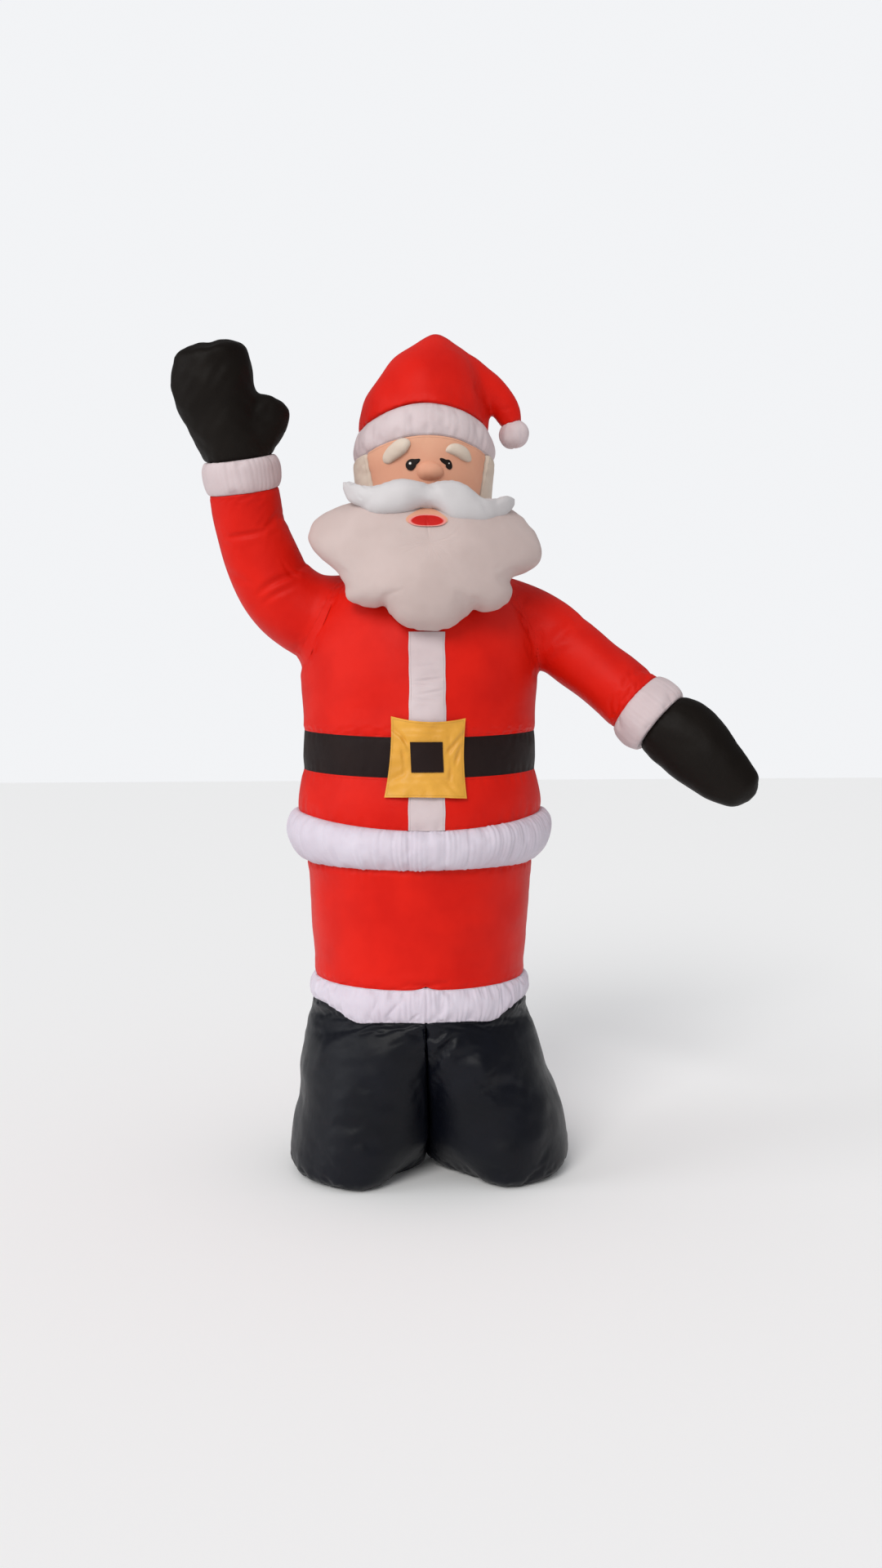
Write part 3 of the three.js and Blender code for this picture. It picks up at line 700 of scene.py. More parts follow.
RED = Finish("red_cloth", (0.66, 0.010, 0.003), (0.57, 0.006, 0.0015), roughness=0.46, shine=0.13, thread=0.97)
LAVENDER = Finish("trim_cloth", (0.64, 0.585, 0.66), (0.58, 0.515, 0.59), roughness=0.55, crinkle=0.4, glow=0.1)
WHITE = Finish("white_cloth", (0.62, 0.52, 0.53), (0.56, 0.455, 0.465), roughness=0.55, crinkle=0.4, glow=0.1)
HAIR = Finish("hair_cloth", (0.565, 0.455, 0.43), (0.51, 0.405, 0.38), roughness=0.55, crinkle=0.2, glow=0.1)
COOL_WHITE = Finish("moustache_cloth", (0.595, 0.57, 0.575), (0.54, 0.51, 0.515), roughness=0.55, crinkle=0.2)
CREAM = Finish("cream_cloth", (0.66, 0.56, 0.47), (0.59, 0.48, 0.39), roughness=0.55, crinkle=0.3, glow=0.1)
BLACK = Finish("black_cloth", (0.0075, 0.0052, 0.0038), (0.0055, 0.0036, 0.0026), roughness=0.5, shine=0.12)
BROWN = Finish("belt_cloth", (0.017, 0.0085, 0.0075), (0.012, 0.006, 0.006), roughness=0.5, shine=0.12)
NAVY = Finish("boot_cloth", (0.0034, 0.0041, 0.0080), (0.0022, 0.0027, 0.0052), roughness=0.38, shine=0.2)
SKIN = Finish("skin_cloth", (0.70, 0.365, 0.24), (0.67, 0.315, 0.205), roughness=0.55, crinkle=0.2, glow=0.1)
GOLD = Finish("gold_cloth", (0.74, 0.365, 0.045), (0.58, 0.27, 0.025), roughness=0.38, shine=0.35, crinkle=0.8)
LIP = Finish("lip_cloth", (0.56, 0.008, 0.005), (0.48, 0.006, 0.004), crinkle=0.1, spot=(0.74, 0.27, 0.24))
# The eyes' spot colour is a painted highlight: the white glint dot on each eye.
EYE = Finish("eye_cloth", (0.010, 0.005, 0.004), (0.008, 0.004, 0.003), crinkle=0.05, spot=(0.8, 0.78, 0.74))


@dataclass(frozen=True)
class Cut:
    """How a flat sheet was cut.

    Attributes:
        width: its width.
        length: its length.
        on: the node that it is sewn to.
        share: its area over its width times its length.
    """

    width: float
    length: float
    on: str
    share: float = 1.0


@dataclass
class Workshop:
    """Turns shapes into pieces.

    Attributes:
        origin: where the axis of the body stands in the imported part's frame, in metres.
    """

    origin: Array

    def piece(self, node: str, made: Skin | Shape, finish: Finish, slot: str, cut: Cut | None = None) -> None:
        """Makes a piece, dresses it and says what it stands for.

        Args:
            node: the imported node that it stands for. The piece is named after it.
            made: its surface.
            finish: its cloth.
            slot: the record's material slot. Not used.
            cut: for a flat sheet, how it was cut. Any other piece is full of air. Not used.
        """
        shape = made.shape() if isinstance(made, Skin) else made
        name = f"santa_{node}"
        mesh = shape.mesh(name, self.origin)
        mesh.materials.append(finish.material())
        body = bpy.data.objects.new(name, mesh)
        bpy.context.scene.collection.objects.link(body)
        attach(body, "root")
        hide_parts(node)
        LOG.info("%s: %d faces", name, len(mesh.polygons))


# ---- The body ----

# How far the boots' upper seam hangs at each sideways place, from the middle of the front to the side.
CORNERED_DROP = Curve(
    [(0, 20), (0.3, 23), (0.5, 29), (0.6, 33), (0.66, 29), (0.75, 14), (0.85, 1), (0.93, -4), (1, 0)]
)


@dataclass(frozen=True)
class Level:
    """A level seam around the body.

    Attributes:
        z: its height.
        sag: how far it hangs at the front and back.
        seed: its pattern of puckers.
        strength: how strong they are.
        cornered: whether it hangs nearly straight between corners, in place of a smooth curve.
        peak: how far it rises to a point where the cloth is joined in the middle of the front.
    """

    z: float
    sag: float
    seed: int
    strength: float
    cornered: bool = False
    peak: float = 0.0

    def drop(self, angle: Array) -> Array:
        """How far the seam hangs at an angle: sag times the sine squared or the table, less the peak."""
        beside = np.abs(np.cos(angle))
        hang = CORNERED_DROP(beside) if self.cornered else self.sag * np.sin(angle) ** 2
        return hang - self.peak * np.exp(-beside / 0.07) * (np.sin(angle) < 0)


BOOT_TOP = Level(503, 28, 11, 0.9, cornered=True, peak=-4.0)
BOOT_TRIM_TOP = Level(571, 0, 12, 0.7, peak=9.0)
TROUSER_TOP = Level(908, 0, 13, 1.2)
SKIRT_BOTTOM = Level(1050, 30, 14, 0.7)
BELT_BOTTOM = Level(1168, 6, 15, 0.45)
BELT_TOP = Level(1279, 7, 16, 0.45)
NECK = Level(1748, 0, 17, 0.8)


@dataclass(frozen=True)
class Panel:
    """A tube of cloth around the body between two level seams.

    Attributes:
        name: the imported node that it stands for.
        finish: its cloth.
        slot: the record's material slot.
        low: the lower seam.
        high: the upper seam.
        rows: how many points go up it.
        columns: how many points go around it.
        roll: how far it stands out between its seams, like half a roll.
        gathers: how high its own pleats are.
        wrinkled: how much of the wrinkles that the air leaves it keeps.
        joints: upright seams in its front: the sideways place, the width and the depth of each.
    """

    name: str
    finish: Finish
    slot: str
    low: Level
    high: Level
    rows: int
    columns: int = 420
    roll: float = 0.0
    gathers: float = 0.0
    wrinkled: float = 0.6
    joints: Table = ()


BOOT_JOINTS = ((0.0, 5.0, 3.2),)
TRIM_JOINTS = ((-51.0, 4.5, 1.5), (49.0, 4.5, 1.5), (114.0, 5.0, 1.2))
BOOT_TRIM = Panel("boot_trim", LAVENDER, "white", BOOT_TOP, BOOT_TRIM_TOP, 32, 640, 11.0, 1.6, 0.9, BOOT_JOINTS)
TROUSERS = Panel("trousers", RED, "red", BOOT_TRIM_TOP, TROUSER_TOP, 58)
JACKET_TRIM = Panel(
    "jacket_trim", LAVENDER, "white", TROUSER_TOP, SKIRT_BOTTOM, 42, 720, 37.0, 1.7, 0.45, TRIM_JOINTS
)
SKIRT = Panel("jacket_skirt", RED, "red", SKIRT_BOTTOM, BELT_BOTTOM, 32, wrinkled=0.35)
BELT = Panel("belt", BROWN, "black", BELT_BOTTOM, BELT_TOP, 28, wrinkled=0.3)
JACKET = Panel("jacket", RED, "red", BELT_TOP, NECK, 98)


def out_of(form: Callable[[Array], Array], points: Array) -> Array:
    """Roughly how far points are outside a form: its function divided by the function's slope.

    Args:
        form: a function of places that is nought on the form's surface and rises outwards.
        points: places, with x, y and z on the last axis.

    Returns:
        Distances in millimetres, below nought inside.
    """
    value = form(points)
    slope = [(form(points + step) - value) for step in np.eye(3)]
    return value / np.maximum(np.sqrt(sum(part**2 for part in slope)), 1e-4)


def smooth_less(first: Array, second: Array, width: float) -> Array:
    """The smaller of two values, and a little less where they are within width of each other."""
    both = np.maximum(width - np.abs(first - second), 0)
    return np.minimum(first, second) - both**2 / (4 * width)


def flow_into(points: Array, normals: Array, other: Callable[[Array], Array], width: float) -> Array:
    """How far points of a surface move outwards until they lie on its smooth union with another form.

    Each round takes off the union's distance, whose own part is what a point has moved so far.

    Args:
        points: places on the surface.
        normals: its directions outwards.
        other: the distance to the other form.
        width: how near to both forms a place has to be for them to flow together.

    Returns:
        The movement of each point, in millimetres.
    """
    moved = np.zeros(points.shape[:-1])
    for _ in range(7):
        moved = moved - 0.8 * smooth_less(moved, other(points + normals * moved[..., None]), width)
    return moved


@dataclass(frozen=True)
class Fold:
    """A crease in the cloth that faces forwards, as a bowed line seen from the front.

    Attributes:
        start: x and z of one end.
        end: x and z of the other.
        width: how wide its valley is.
        depth: how deep.
        bow: how far its middle lies to the left of the straight line from start to end.
    """

    start: tuple[float, float]
    end: tuple[float, float]
    width: float
    depth: float
    bow: float = 0.0

    def height(self, points: Array, normals: Array) -> Array:
        """The crease's height at each point: a valley across its line that fades towards its ends.

        Args:
            points: places on the cloth.
            normals: its directions outwards.

        Returns:
            How far the cloth stands out.
        """
        way = np.subtract(self.end, self.start)
        length = float(np.hypot(*way))
        along, left = way / length, np.array([-way[1], way[0]]) / length
        away = points[..., [0, 2]] - np.array(self.start)
        s = away @ along / length
        offset = away @ left - self.bow * 4 * s * (1 - s)
        middle = np.clip(1 - (2 * s - 1) ** 2, 0, 1) * (s > 0) * (s < 1)
        facing = eased(-normals[..., 1], -0.1, 0.35)
        return self.depth * crease(offset, self.width * (0.45 + 0.55 * middle), middle * facing)


def folded(skin: Skin, folds: Sequence[Fold]) -> Skin:
    """Pushes creases into a skin, and returns it."""
    normals = grid_normals(skin.points)
    return skin.push(sum((fold.height(skin.points, normals) for fold in folds), np.zeros(skin.seam.shape)))


# The body: z, half width and half depth.
BODY = (
    (503, 311, 298), (571, 305, 295), (740, 315, 303), (908, 328, 318), (1050, 353, 343), (1168, 336, 330),
    (1279, 334, 324), (1380, 336, 316), (1470, 341, 305), (1560, 330, 286), (1640, 292, 258), (1705, 228, 215),
    (1748, 150, 158),
)  # fmt: skip

TRIM_FOLDS = (
    Fold((-112, 494), (-68, 543), 7, 3.5, 3),
    Fold((-48, 482), (-14, 514), 6, 3.0, 2),
    Fold((-150, 500), (-128, 545), 6, 2.0, 2),
    Fold((38, 500), (52, 548), 6, 1.8, -2),
)
JACKET_FOLDS = (
    Fold((-318, 1520), (-250, 1640), 20, 3.0, 8),
    Fold((262, 1640), (318, 1515), 22, 3.5, 10),
    Fold((240, 1690), (300, 1560), 16, 2.0, -10),
)


def over_roll(theta: Array, height: float, roll: float) -> tuple[Array, Array]:
    """How far cloth at theta, from 0 to pi over half an oval, is from the oval's lower and its upper end."""
    arc = math.pi * math.hypot(height / 2, roll) / math.sqrt(2)
    return theta / math.pi * arc, arc - theta / math.pi * arc


@dataclass
class Torso:
    """The body from the boots' upper seam to the neck, as panels stacked between level seams.

    Attributes:
        gap: the room left at each seam on each side.
        armhole: the width over which the sleeves flow into the jacket.
        tuck: how far the jacket dips where a sleeve covers it.
        section: the half width and half depth at each height.
        made: the finished cloth of each panel.
    """

    gap: float = 0.15
    armhole: float = 32.0
    tuck: float = 3.0
    section: Curve = field(default_factory=lambda: Curve(BODY))
    made: dict[str, Skin] = field(default_factory=dict)

    def girth(self, level: Level) -> float:
        """The length of a level seam, from the root of the mean square of its half sizes."""
        return TAU * float(np.sqrt((self.section(level.z) ** 2).mean()))

    def distance(self, points: Array) -> Array:
        """How far points are outside the body without its rolls, from the share of its oval that they reach.

        Args:
            points: places, with x, y and z on the last axis.

        Returns:
            Distances in millimetres, below nought inside.
        """

        def reach(place: Array) -> Array:
            """How much further out than the oval at its height a place is, and more above the neck."""
            half = self.section(place[..., 2])
            above = np.maximum(place[..., 2] - NECK.z, 0) / 100
            return np.hypot(place[..., 0] / half[..., 0], place[..., 1] / half[..., 1]) - 1 + above

        return out_of(reach, points)

    def front(self, x: Array, z: Array) -> Array:
        """Where the front of the body lies at a place: its oval solved for y, and far back beside it."""
        half = self.section(z)
        inside = 1 - (x / half[..., 0]) ** 2
        return np.where((inside > 0) & (z < NECK.z), -half[..., 1] * np.sqrt(np.maximum(inside, 0)), FAR)

    def angle(self, x: Array, z: Array) -> Array:
        """The angle on the front at which a ring at a height reaches a sideways place."""
        return -np.arccos(np.clip(x / self.section(z)[..., 0], -1, 1))

    def cloth(self, panel: Panel, angle: Array, v: Array) -> tuple[Array, Array]:
        """Points on a panel's cloth, with everything that the air and the thread do to it.

        A point stands on an oval at its height, which hangs between the drops of the two seams. A roll adds
        half a circle on top, roll * sin(theta) outwards, with v = (1 - cos(theta)) / 2. The puckers of both
        seams push it level outwards, and the gathers and the unevenness push it along the roll's own normal.

        Args:
            panel: the panel.
            angle: the angle around the body.
            v: the share of the way up, from 0 at the lower seam to 1 at the upper.

        Returns:
            The points, and how far each is from its nearest seam.
        """
        low, high = panel.low, panel.high
        angle, v = np.broadcast_arrays(angle, v)
        theta = np.arccos(np.clip(1 - 2 * v, -1, 1))
        z = mixed(low.z + self.gap, high.z - self.gap, v)
        half = self.section(z)
        bulge = panel.roll * np.sin(theta)
        x = (half[..., 0] + bulge) * np.cos(angle)
        y = (half[..., 1] + bulge) * np.sin(angle)
        points = xyz(x, y, z - mixed(low.drop(angle), high.drop(angle), v))
        out = level = unit(xyz(np.cos(angle) / half[..., 0], np.sin(angle) / half[..., 1], 0.0))
        height = high.z - low.z
        below, above = v * height, (1 - v) * height
        if panel.roll:
            upwards = xyz(0.0, 0.0, -np.cos(theta) * panel.roll)
            out = unit(level * (np.sin(theta) * height / 2)[..., None] + upwards)
            below, above = over_roll(theta, height, panel.roll)
        share = angle / TAU % 1
        stand = sum(
            Seam(self.girth(seam), seam.seed, seam.strength).puckers(share, away)
            for seam, away in ((low, below), (high, above))
        )
        nearest = np.minimum(below, above)
        swell = 1.4 * unevenness(points, 160, low.seed + 70) * eased(nearest, 0, 40)
        if panel.gathers:
            count = self.girth(low) / 15
            tight = pleats(share, count, low.seed + 40, v * 2.4) * (0.4 + 0.6 * np.exp(-nearest / 26))
            wide = 0.7 * pleats(share, count / 2.3, low.seed + 50, v * 1.5)
            swell = swell + panel.gathers * (1 - np.exp(-nearest / 4)) * (tight + wide)
        for place, width, depth in panel.joints:
            swell = swell + depth * crease(points[..., 0] - place, width) * (np.sin(angle) < 0)
        return points + level * stand[..., None] + out * swell[..., None], nearest

    def levels(self, panel: Panel) -> Array:
        """The share of the way up of each row of a panel. The rows lie closer together near the seams."""
        even = np.linspace(0, 1, panel.rows)
        return (1 - np.cos(math.pi * even)) / 2 if panel.roll else tightened(even, 0.7)

    def on_cloth(self, panel: Panel, angle: Array, v: Array) -> Array:
        """Points on a panel's finished cloth at some angles and shares of the way up."""
        row = np.interp(v, self.levels(panel), np.arange(panel.rows))
        return self.made[panel.name].sample(row, angle / TAU * panel.columns)

    def skin(self, panel: Panel) -> Skin:
        """A panel's cloth on a grid."""
        points, nearest = self.cloth(panel, TAU * turns(panel.columns), self.levels(panel)[:, None])
        return Skin(points, nearest, self.girth(panel.low))

    def jacket(self, arms: Sequence[Arm]) -> Skin:
        """The jacket above the belt. It flows out to each armhole, and dips inside the sleeve.

        Args:
            arms: the arms that join it.

        Returns:
            The jacket.
        """
        skin = self.skin(JACKET)
        for arm in arms:
            normals = grid_normals(skin.points)
            moved = flow_into(skin.points, normals, arm.limb.distance, self.armhole)
            place = skin.points + normals * moved[..., None]
            beyond = arm.limb.distance(place) - moved
            stand = moved + arm.armhole_seam.puckers(arm.limb.share(place), np.maximum(beyond, 0))
            stand = mixed(stand - 0.8 * eased(-beyond, 0, 8), -self.tuck, eased(-beyond, 12, 28))
            skin.points = skin.points + normals * stand[..., None]
            skin.seam = np.minimum(skin.seam, np.maximum(beyond, 0))
        return folded(skin, JACKET_FOLDS)

    def trousers(self) -> Skin:
        """The trouser tube, with a soft pinch where the two boots start below it."""
        skin = self.skin(TROUSERS)
        x, _, z = np.moveaxis(skin.points, -1, 0)
        return skin.push(-6 * np.exp(-(((np.abs(x) - 4) / 15) ** 2)) * np.exp(-(z - BOOT_TRIM_TOP.z) / 70))

    def build(self, shop: Workshop, arms: Sequence[Arm]) -> None:
        """Makes the panels.

        Args:
            shop: where pieces are made.
            arms: the arms that join the jacket.
        """
        blank = {panel: self.skin(panel) for panel in (BOOT_TRIM, JACKET_TRIM, SKIRT, BELT)}
        blank |= {TROUSERS: self.trousers(), JACKET: self.jacket(arms)}
        folded(blank[BOOT_TRIM], TRIM_FOLDS)
        for panel, skin in blank.items():
            self.made[panel.name] = skin.aired(panel.wrinkled)
            shop.piece(panel.name, skin, panel.finish, panel.slot)


# ---- Patches of flat cloth ----


def thin_sheet(front: Array, thickness: float, seam: Array | float, spot: Array | float = 0.0) -> Shape:
    """A sheet of cloth: a grid for its face, the same grid set back for its other side, and a rim between them.

    Args:
        front: rows by columns by x, y and z on its face, seen from the front.
        thickness: how thick it is.
        seam: for each point, how far it is from its stitched edge.
        spot: for each point, how much of its finish's second colour it has: the lips' border, and on an eye its
            painted highlight.

    Returns:
        The closed shape. Its map is the sideways place and the height.
    """
    rows, columns = front.shape[:2]
    out = unit(np.cross(np.gradient(front, axis=0), np.gradient(front, axis=1)))
    out = out * np.sign(-out[..., 1:2].mean())
    index = np.arange(rows * columns).reshape(rows, columns)
    quads = np.stack([index[:-1, :-1], index[:-1, 1:], index[1:, 1:], index[1:, :-1]], axis=-1).reshape(-1, 4)
    rim = np.concatenate([index[0, :-1], index[:-1, -1], index[-1, :0:-1], index[:0:-1, 0]])
    following = np.roll(rim, -1)
    count = index.size
    side = np.stack([following, rim, rim + count, following + count], axis=-1)
    points = np.concatenate([front.reshape(-1, 3), (front - out * thickness).reshape(-1, 3)])
    values = {"along": points[:, 0], "down": points[:, 2]}
    for key, part in (("seam", seam), ("spot", spot)):
        values[key] = np.tile(np.broadcast_to(part, (rows, columns)).reshape(-1), 2)
    return Shape(points, [np.concatenate([quads, quads[:, ::-1] + count, side])], values)


def square_grid(rows: int, columns: int) -> tuple[Array, Array]:
    """Two grids of values from -1 to 1: across and up."""
    return np.meshgrid(np.linspace(-1, 1, columns), np.linspace(1, -1, rows))


def round_grid(size: int) -> tuple[Array, Array]:
    """The angle and the reach of a square grid drawn round: each side bends out until it lies on the circle."""
    across, up = square_grid(size, size)
    x, y = across * np.sqrt(1 - up**2 / 2), up * np.sqrt(1 - across**2 / 2)
    return np.arctan2(y, x), np.hypot(x, y)


# Creases across the strip: height, slope, middle, reach, width and depth.
STRIP_RUCKS = (
    (1432, 0.10, 12, 40, 6, 3.2),
    (1418, -0.06, -18, 30, 5, 2.4),
    (1398, 0.16, 20, 34, 6, 2.2),
    (1376, -0.10, -8, 44, 7, 1.6),
    (1470, 0.05, 4, 40, 8, 1.4),
)
# Creases in the buckle: x and z of the middle, the slant, the reach, the width and the depth.
BUCKLE_RUCKS = (
    (-76, 66, 0.75, 36, 8, 5.5),
    (-56, 40, 1.05, 28, 7, 5.0),
    (-66, 16, 1.35, 24, 7, 3.0),
    (76, 36, -0.85, 42, 9, 6.0),
    (84, 2, -1.25, 34, 8, 5.0),
    (66, -30, -1.45, 26, 7, 3.5),
    (60, -72, 0.80, 36, 10, 3.0),
    (-78, -50, -0.60, 40, 11, 3.0),
    (10, 80, 0.10, 44, 8, 2.6),
)


@dataclass
class Dress:
    """What is sewn flat on the body: the strip down the front, above and below the belt, and the buckle.

    Attributes:
        strip_x: the middle of the strip below and above the belt.
        strip_half: half its width.
        strip_crown: how far its middle stands up between its two stitched edges.
        cloth: the thickness of a patch.
        buckle_z: the middle of the buckle.
        buckle_stand: how far the buckle's cloth stands off the belt.
    """

    strip_x: tuple[float, float] = (-1.0, 4.0)
    strip_half: float = 50.0
    strip_crown: float = 2.5
    cloth: float = 1.6
    buckle_z: float = 1217.0
    buckle_stand: float = 13.5

    def strip(self, torso: Torso, panel: Panel, bottom: float, top: float, rows: int) -> Shape:
        """The strip over one panel: its edges are sewn down, its middle crowns, and creases cross it.

        Args:
            torso: the body.
            panel: the panel that it lies on.
            bottom: the share of the way up where it starts.
            top: the share where it ends.
            rows: how many points go up it.

        Returns:
            The strip.
        """
        across, up = square_grid(rows, 41)
        v = mixed(bottom, top, (up + 1) / 2)
        z = mixed(panel.low.z, panel.high.z, v)
        middle_x = self.strip_x[panel is JACKET]
        x = middle_x + (self.strip_half + 0.8 * unevenness(xyz(np.sign(across) * 60, 0, z), 60, 501)) * across
        points = torso.on_cloth(panel, torso.angle(x, z), v)
        crown = self.strip_crown * (1 - across**4)
        ripple = 0.9 * unevenness(xyz(x * 0.35, 0, z), 34, 502) * (1 - across**6)
        free = mixed(0.1, 1, eased(np.abs(z - self.buckle_z), 100, 140))
        rucks = sum(
            ruck(z - height - slope * (x - middle_x), width, depth, x - middle, reach)
            for height, slope, middle, reach, width, depth in STRIP_RUCKS
        )
        points[..., 1] -= self.cloth + 1.0 + (crown + ripple + rucks * (1 - across**6)) * free
        return thin_sheet(points, self.cloth, np.maximum((1 - np.abs(across)) * self.strip_half, 0.0))

    def buckle(self, torso: Torso) -> Shape:
        """The buckle: a square of gold cloth on the belt, pulled to its corners, with a few slanting rucks.

        Args:
            torso: the body.

        Returns:
            The buckle.
        """
        across, up = square_grid(72, 72)
        left = mixed(-115, -96, (up + 1) / 2) + 7 * (1 - up**2)
        right = mixed(109, 107, (up + 1) / 2) - 6 * (1 - up**2)
        x = mixed(left, right, (across + 1) / 2)
        top = 110 - 3 * across - 12 * (1 - across**2)
        foot = -108 - 2 * across + 3 * (1 - across**2)
        z = self.buckle_z + mixed(foot, top, (up + 1) / 2)
        place = xyz(x, 0, z)
        rim = np.minimum(1 - np.abs(across), 1 - np.abs(up)) * 100
        off = np.maximum(np.abs(x), np.abs(z - self.buckle_z - 3))
        free = eased(off, 40, 60)
        stand = self.buckle_stand - 4 * eased(np.abs(x), 60, 105)
        for x0, z0, slant, reach, width, depth in BUCKLE_RUCKS:
            dx, dz = x - x0, z - self.buckle_z - z0
            offset = dx * math.sin(slant) + dz * math.cos(slant)
            stand = stand + ruck(offset, width, depth, np.hypot(dx, dz), reach) * free
        stand = stand + 1.2 * crease(off - 62, 7) + 4 * np.exp(-((rim / 60) ** 2)) * np.abs(across * up)
        uneven = 1.6 * unevenness(place, 70, 511) + 0.6 * unevenness(place, 28, 512)
        return thin_sheet(xyz(x, torso.front(x, z) - stand - uneven * (0.25 + 0.75 * free), z), self.cloth, rim)

    def buckle_middle(self, torso: Torso) -> Shape:
        """The black square in the middle of the buckle."""
        across, up = square_grid(24, 24)
        x = 44 * across - 1.5 * up
        z = self.buckle_z + 3 + 41 * up
        y = torso.front(x, z) - self.buckle_stand - 4.2 - 0.8 * unevenness(xyz(x, 0, z), 60, 515)
        return thin_sheet(xyz(x, y, z), self.cloth, np.minimum(1 - np.abs(across), 1 - np.abs(up)) * 42)

    def build(self, shop: Workshop, torso: Torso) -> None:
        """Makes the four patches.

        Args:
            shop: where pieces are made.
            torso: the body that they are sewn to.
        """
        width = 2 * self.strip_half
        upper, lower = self.strip(torso, JACKET, 0.004, 0.60, 150), self.strip(torso, SKIRT, 0.0, 0.99, 70)
        shop.piece("placket_upper", upper, WHITE, "white", Cut(width, 285, "jacket"))
        shop.piece("placket_lower", lower, WHITE, "white", Cut(width, 142, "jacket_skirt"))
        shop.piece("buckle", self.buckle(torso), GOLD, "gold", Cut(220, 216, "belt", 0.97))
        shop.piece("buckle_centre", self.buckle_middle(torso), BROWN, "black", Cut(88, 82, "buckle"))


# ---- Boots ----

# A boot's rings: z, x, y, outer and inner half width, half depth, inner and outer corner, and the seam's x.
BOOT = (
    (0, 206, -18, 164, 168, 240, 0.26, 0.0, 12), (14, 206, -19, 187, 198, 266, 0.24, 0.0, 12),
    (45, 206, -19, 203, 232, 284, 0.20, 0.0, 13), (95, 204, -18, 202, 258, 292, 0.10, 0.02, 14),
    (170, 194, -14, 199, 262, 293, 0.04, 0.02, 14), (277, 150, -9, 213, 240, 293, 0.02, 0.0, 10),
    (390, 86, -3, 252, 240, 296, 0.0, 0.0, 4), (475, 32, 0, 282, 282, 298, 0.0, 0.0, 0),
    (540, 26, 0, 284, 284, 298, 0.0, 0.0, 0),
)  # fmt: skip
BOOT_SHIFT = {-1: (14.0, 15.0), 1: (12.0, 14.0)}  # how far a boot stands to +X on the ground, and higher up
BOOT_NAMES = {-1: "boot_right", 1: "boot_left"}
BOOT_FOLDS = {
    -1: (
        Fold((-110, 478), (-190, 452), 9, 2.5, -6),
        Fold((-150, 470), (-260, 400), 16, 3.0, 8),
        Fold((-250, 440), (-322, 320), 28, -6.0, 6),
        Fold((-40, 340), (-20, 200), 20, 3.0, 6),
    ),
    1: (
        Fold((88, 450), (6, 326), 20, 13.0, -8),
        Fold((60, 476), (14, 420), 9, 4.0, 4),
        Fold((104, 452), (184, 276), 30, -9.0, 6),
        Fold((196, 302), (138, 274), 8, 6.0, 3),
        Fold((190, 324), (134, 298), 6, 5.0, 2),
        Fold((198, 346), (150, 322), 6, 3.5, 2),
        Fold((262, 460), (308, 340), 14, 2.5, -8),
        Fold((30, 330), (60, 190), 22, 3.0, -8),
    ),
}


@dataclass
class Boots:
    """Two boots that stand apart on the ground and press together at the seam between them.

    Attributes:
        rows: how many points go up a boot.
        columns: how many go around it.
        section: the numbers of a boot's ring at each height.
    """

    rows: int = 100
    columns: int = 270
    section: Curve = field(default_factory=lambda: Curve(BOOT))

    def skin(self, torso: Torso, side: int) -> Skin:
        """A boot: ovals with their corners cut back, held off the seam between the boots.

        The reach of a ring at an angle is 1 - cut * sin(2 angle)^2. The distance from the leaning seam is never
        less than nought: a soft maximum, wide low down and narrow at the top, rounds it off. Towards the top
        the ring is drawn onto the body's own, and hangs with its seam.

        Args:
            torso: the body above.
            side: -1 for the figure's right boot and 1 for its left.

        Returns:
            The boot.
        """
        share = turns(self.columns)
        v = tightened(steps(self.rows), 0.55)
        top = BOOT_TOP.z - torso.gap
        z = top * v
        middle, y0, outer, inner, deep, inner_cut, outer_cut, lean = np.moveaxis(self.section(z), -1, 0)
        angle = TAU * share
        inwards = np.cos(angle) * side < 0
        reach = 1 - np.where(inwards, inner_cut, outer_cut) * np.sin(2 * angle) ** 2
        low, high = BOOT_SHIFT[side]
        shift = mixed(mixed(low, high, eased(z, 30, 110)), 0, eased(z, 200, 320))
        x = side * middle + lean + shift + reach * np.where(inwards, inner, outer) * np.cos(angle)
        y = y0 + reach * deep * np.sin(angle)
        off = side * (x - lean)
        off = -smooth_less(-off, -torso.gap + 0 * off, mixed(22, 5, eased(z, 90, 440)))
        x = lean + side * off
        wide, far = torso.section(BOOT_TOP.z)
        norm = np.hypot(x / wide, y / far)
        near_top = eased(z, 420, 500)
        fit = mixed(1, 1 / np.maximum(norm, 0.5), near_top * eased(off, 4, 30))
        fit = np.where(norm > 1, mixed(1, 1 / norm, near_top), fit)
        x, y = x * fit, y * fit
        around = np.arctan2(y / far, x / wide)
        points = xyz(x, y, z - BOOT_TOP.drop(around) * (z / top) ** 5)
        from_top = np.broadcast_to((1 - v) * top, x.shape)
        seam = Seam(torso.girth(BOOT_TOP), BOOT_TOP.seed, BOOT_TOP.strength)
        apart = eased(off, 2, 18)
        stand = seam.puckers(around / TAU % 1, from_top) * mixed(0.2, 1, apart)
        stand = stand * mixed(1, 0.4, eased(from_top, 3, 20))
        stand = stand + Seam(1500, 21, 0.7, groove=0.0).puckers(share, np.abs(z - 16)) * eased(z, 2, 14)
        stand = stand + 2.2 * unevenness(points, 170, 600 + side) + 0.8 * unevenness(points, 70, 610 + side)
        stand = stand * eased(from_top, -1, 2) * mixed(0.15, 1, apart) * eased(z, 0, 6)
        level = grid_normals(points)
        level[..., 2] *= 1 - near_top
        points = points + level * stand[..., None]
        skin = folded(Skin(points, from_top, torso.girth(BOOT_TOP), around / TAU % 1), BOOT_FOLDS[side])
        skin.aired(0.9, (from_top < 4) | (points[..., 2] < 4))
        skin.points[..., 2] = np.maximum(skin.points[..., 2], 0.0)
        skin.points[..., 0] += side * np.maximum(torso.gap - side * (skin.points[..., 0] - lean), 0)
        return skin

    def build(self, shop: Workshop, torso: Torso) -> None:
        """Makes both boots.

        Args:
            shop: where pieces are made.
            torso: the body above them.
        """
        for side, name in BOOT_NAMES.items():
            shop.piece(name, self.skin(torso, side), NAVY, "black")


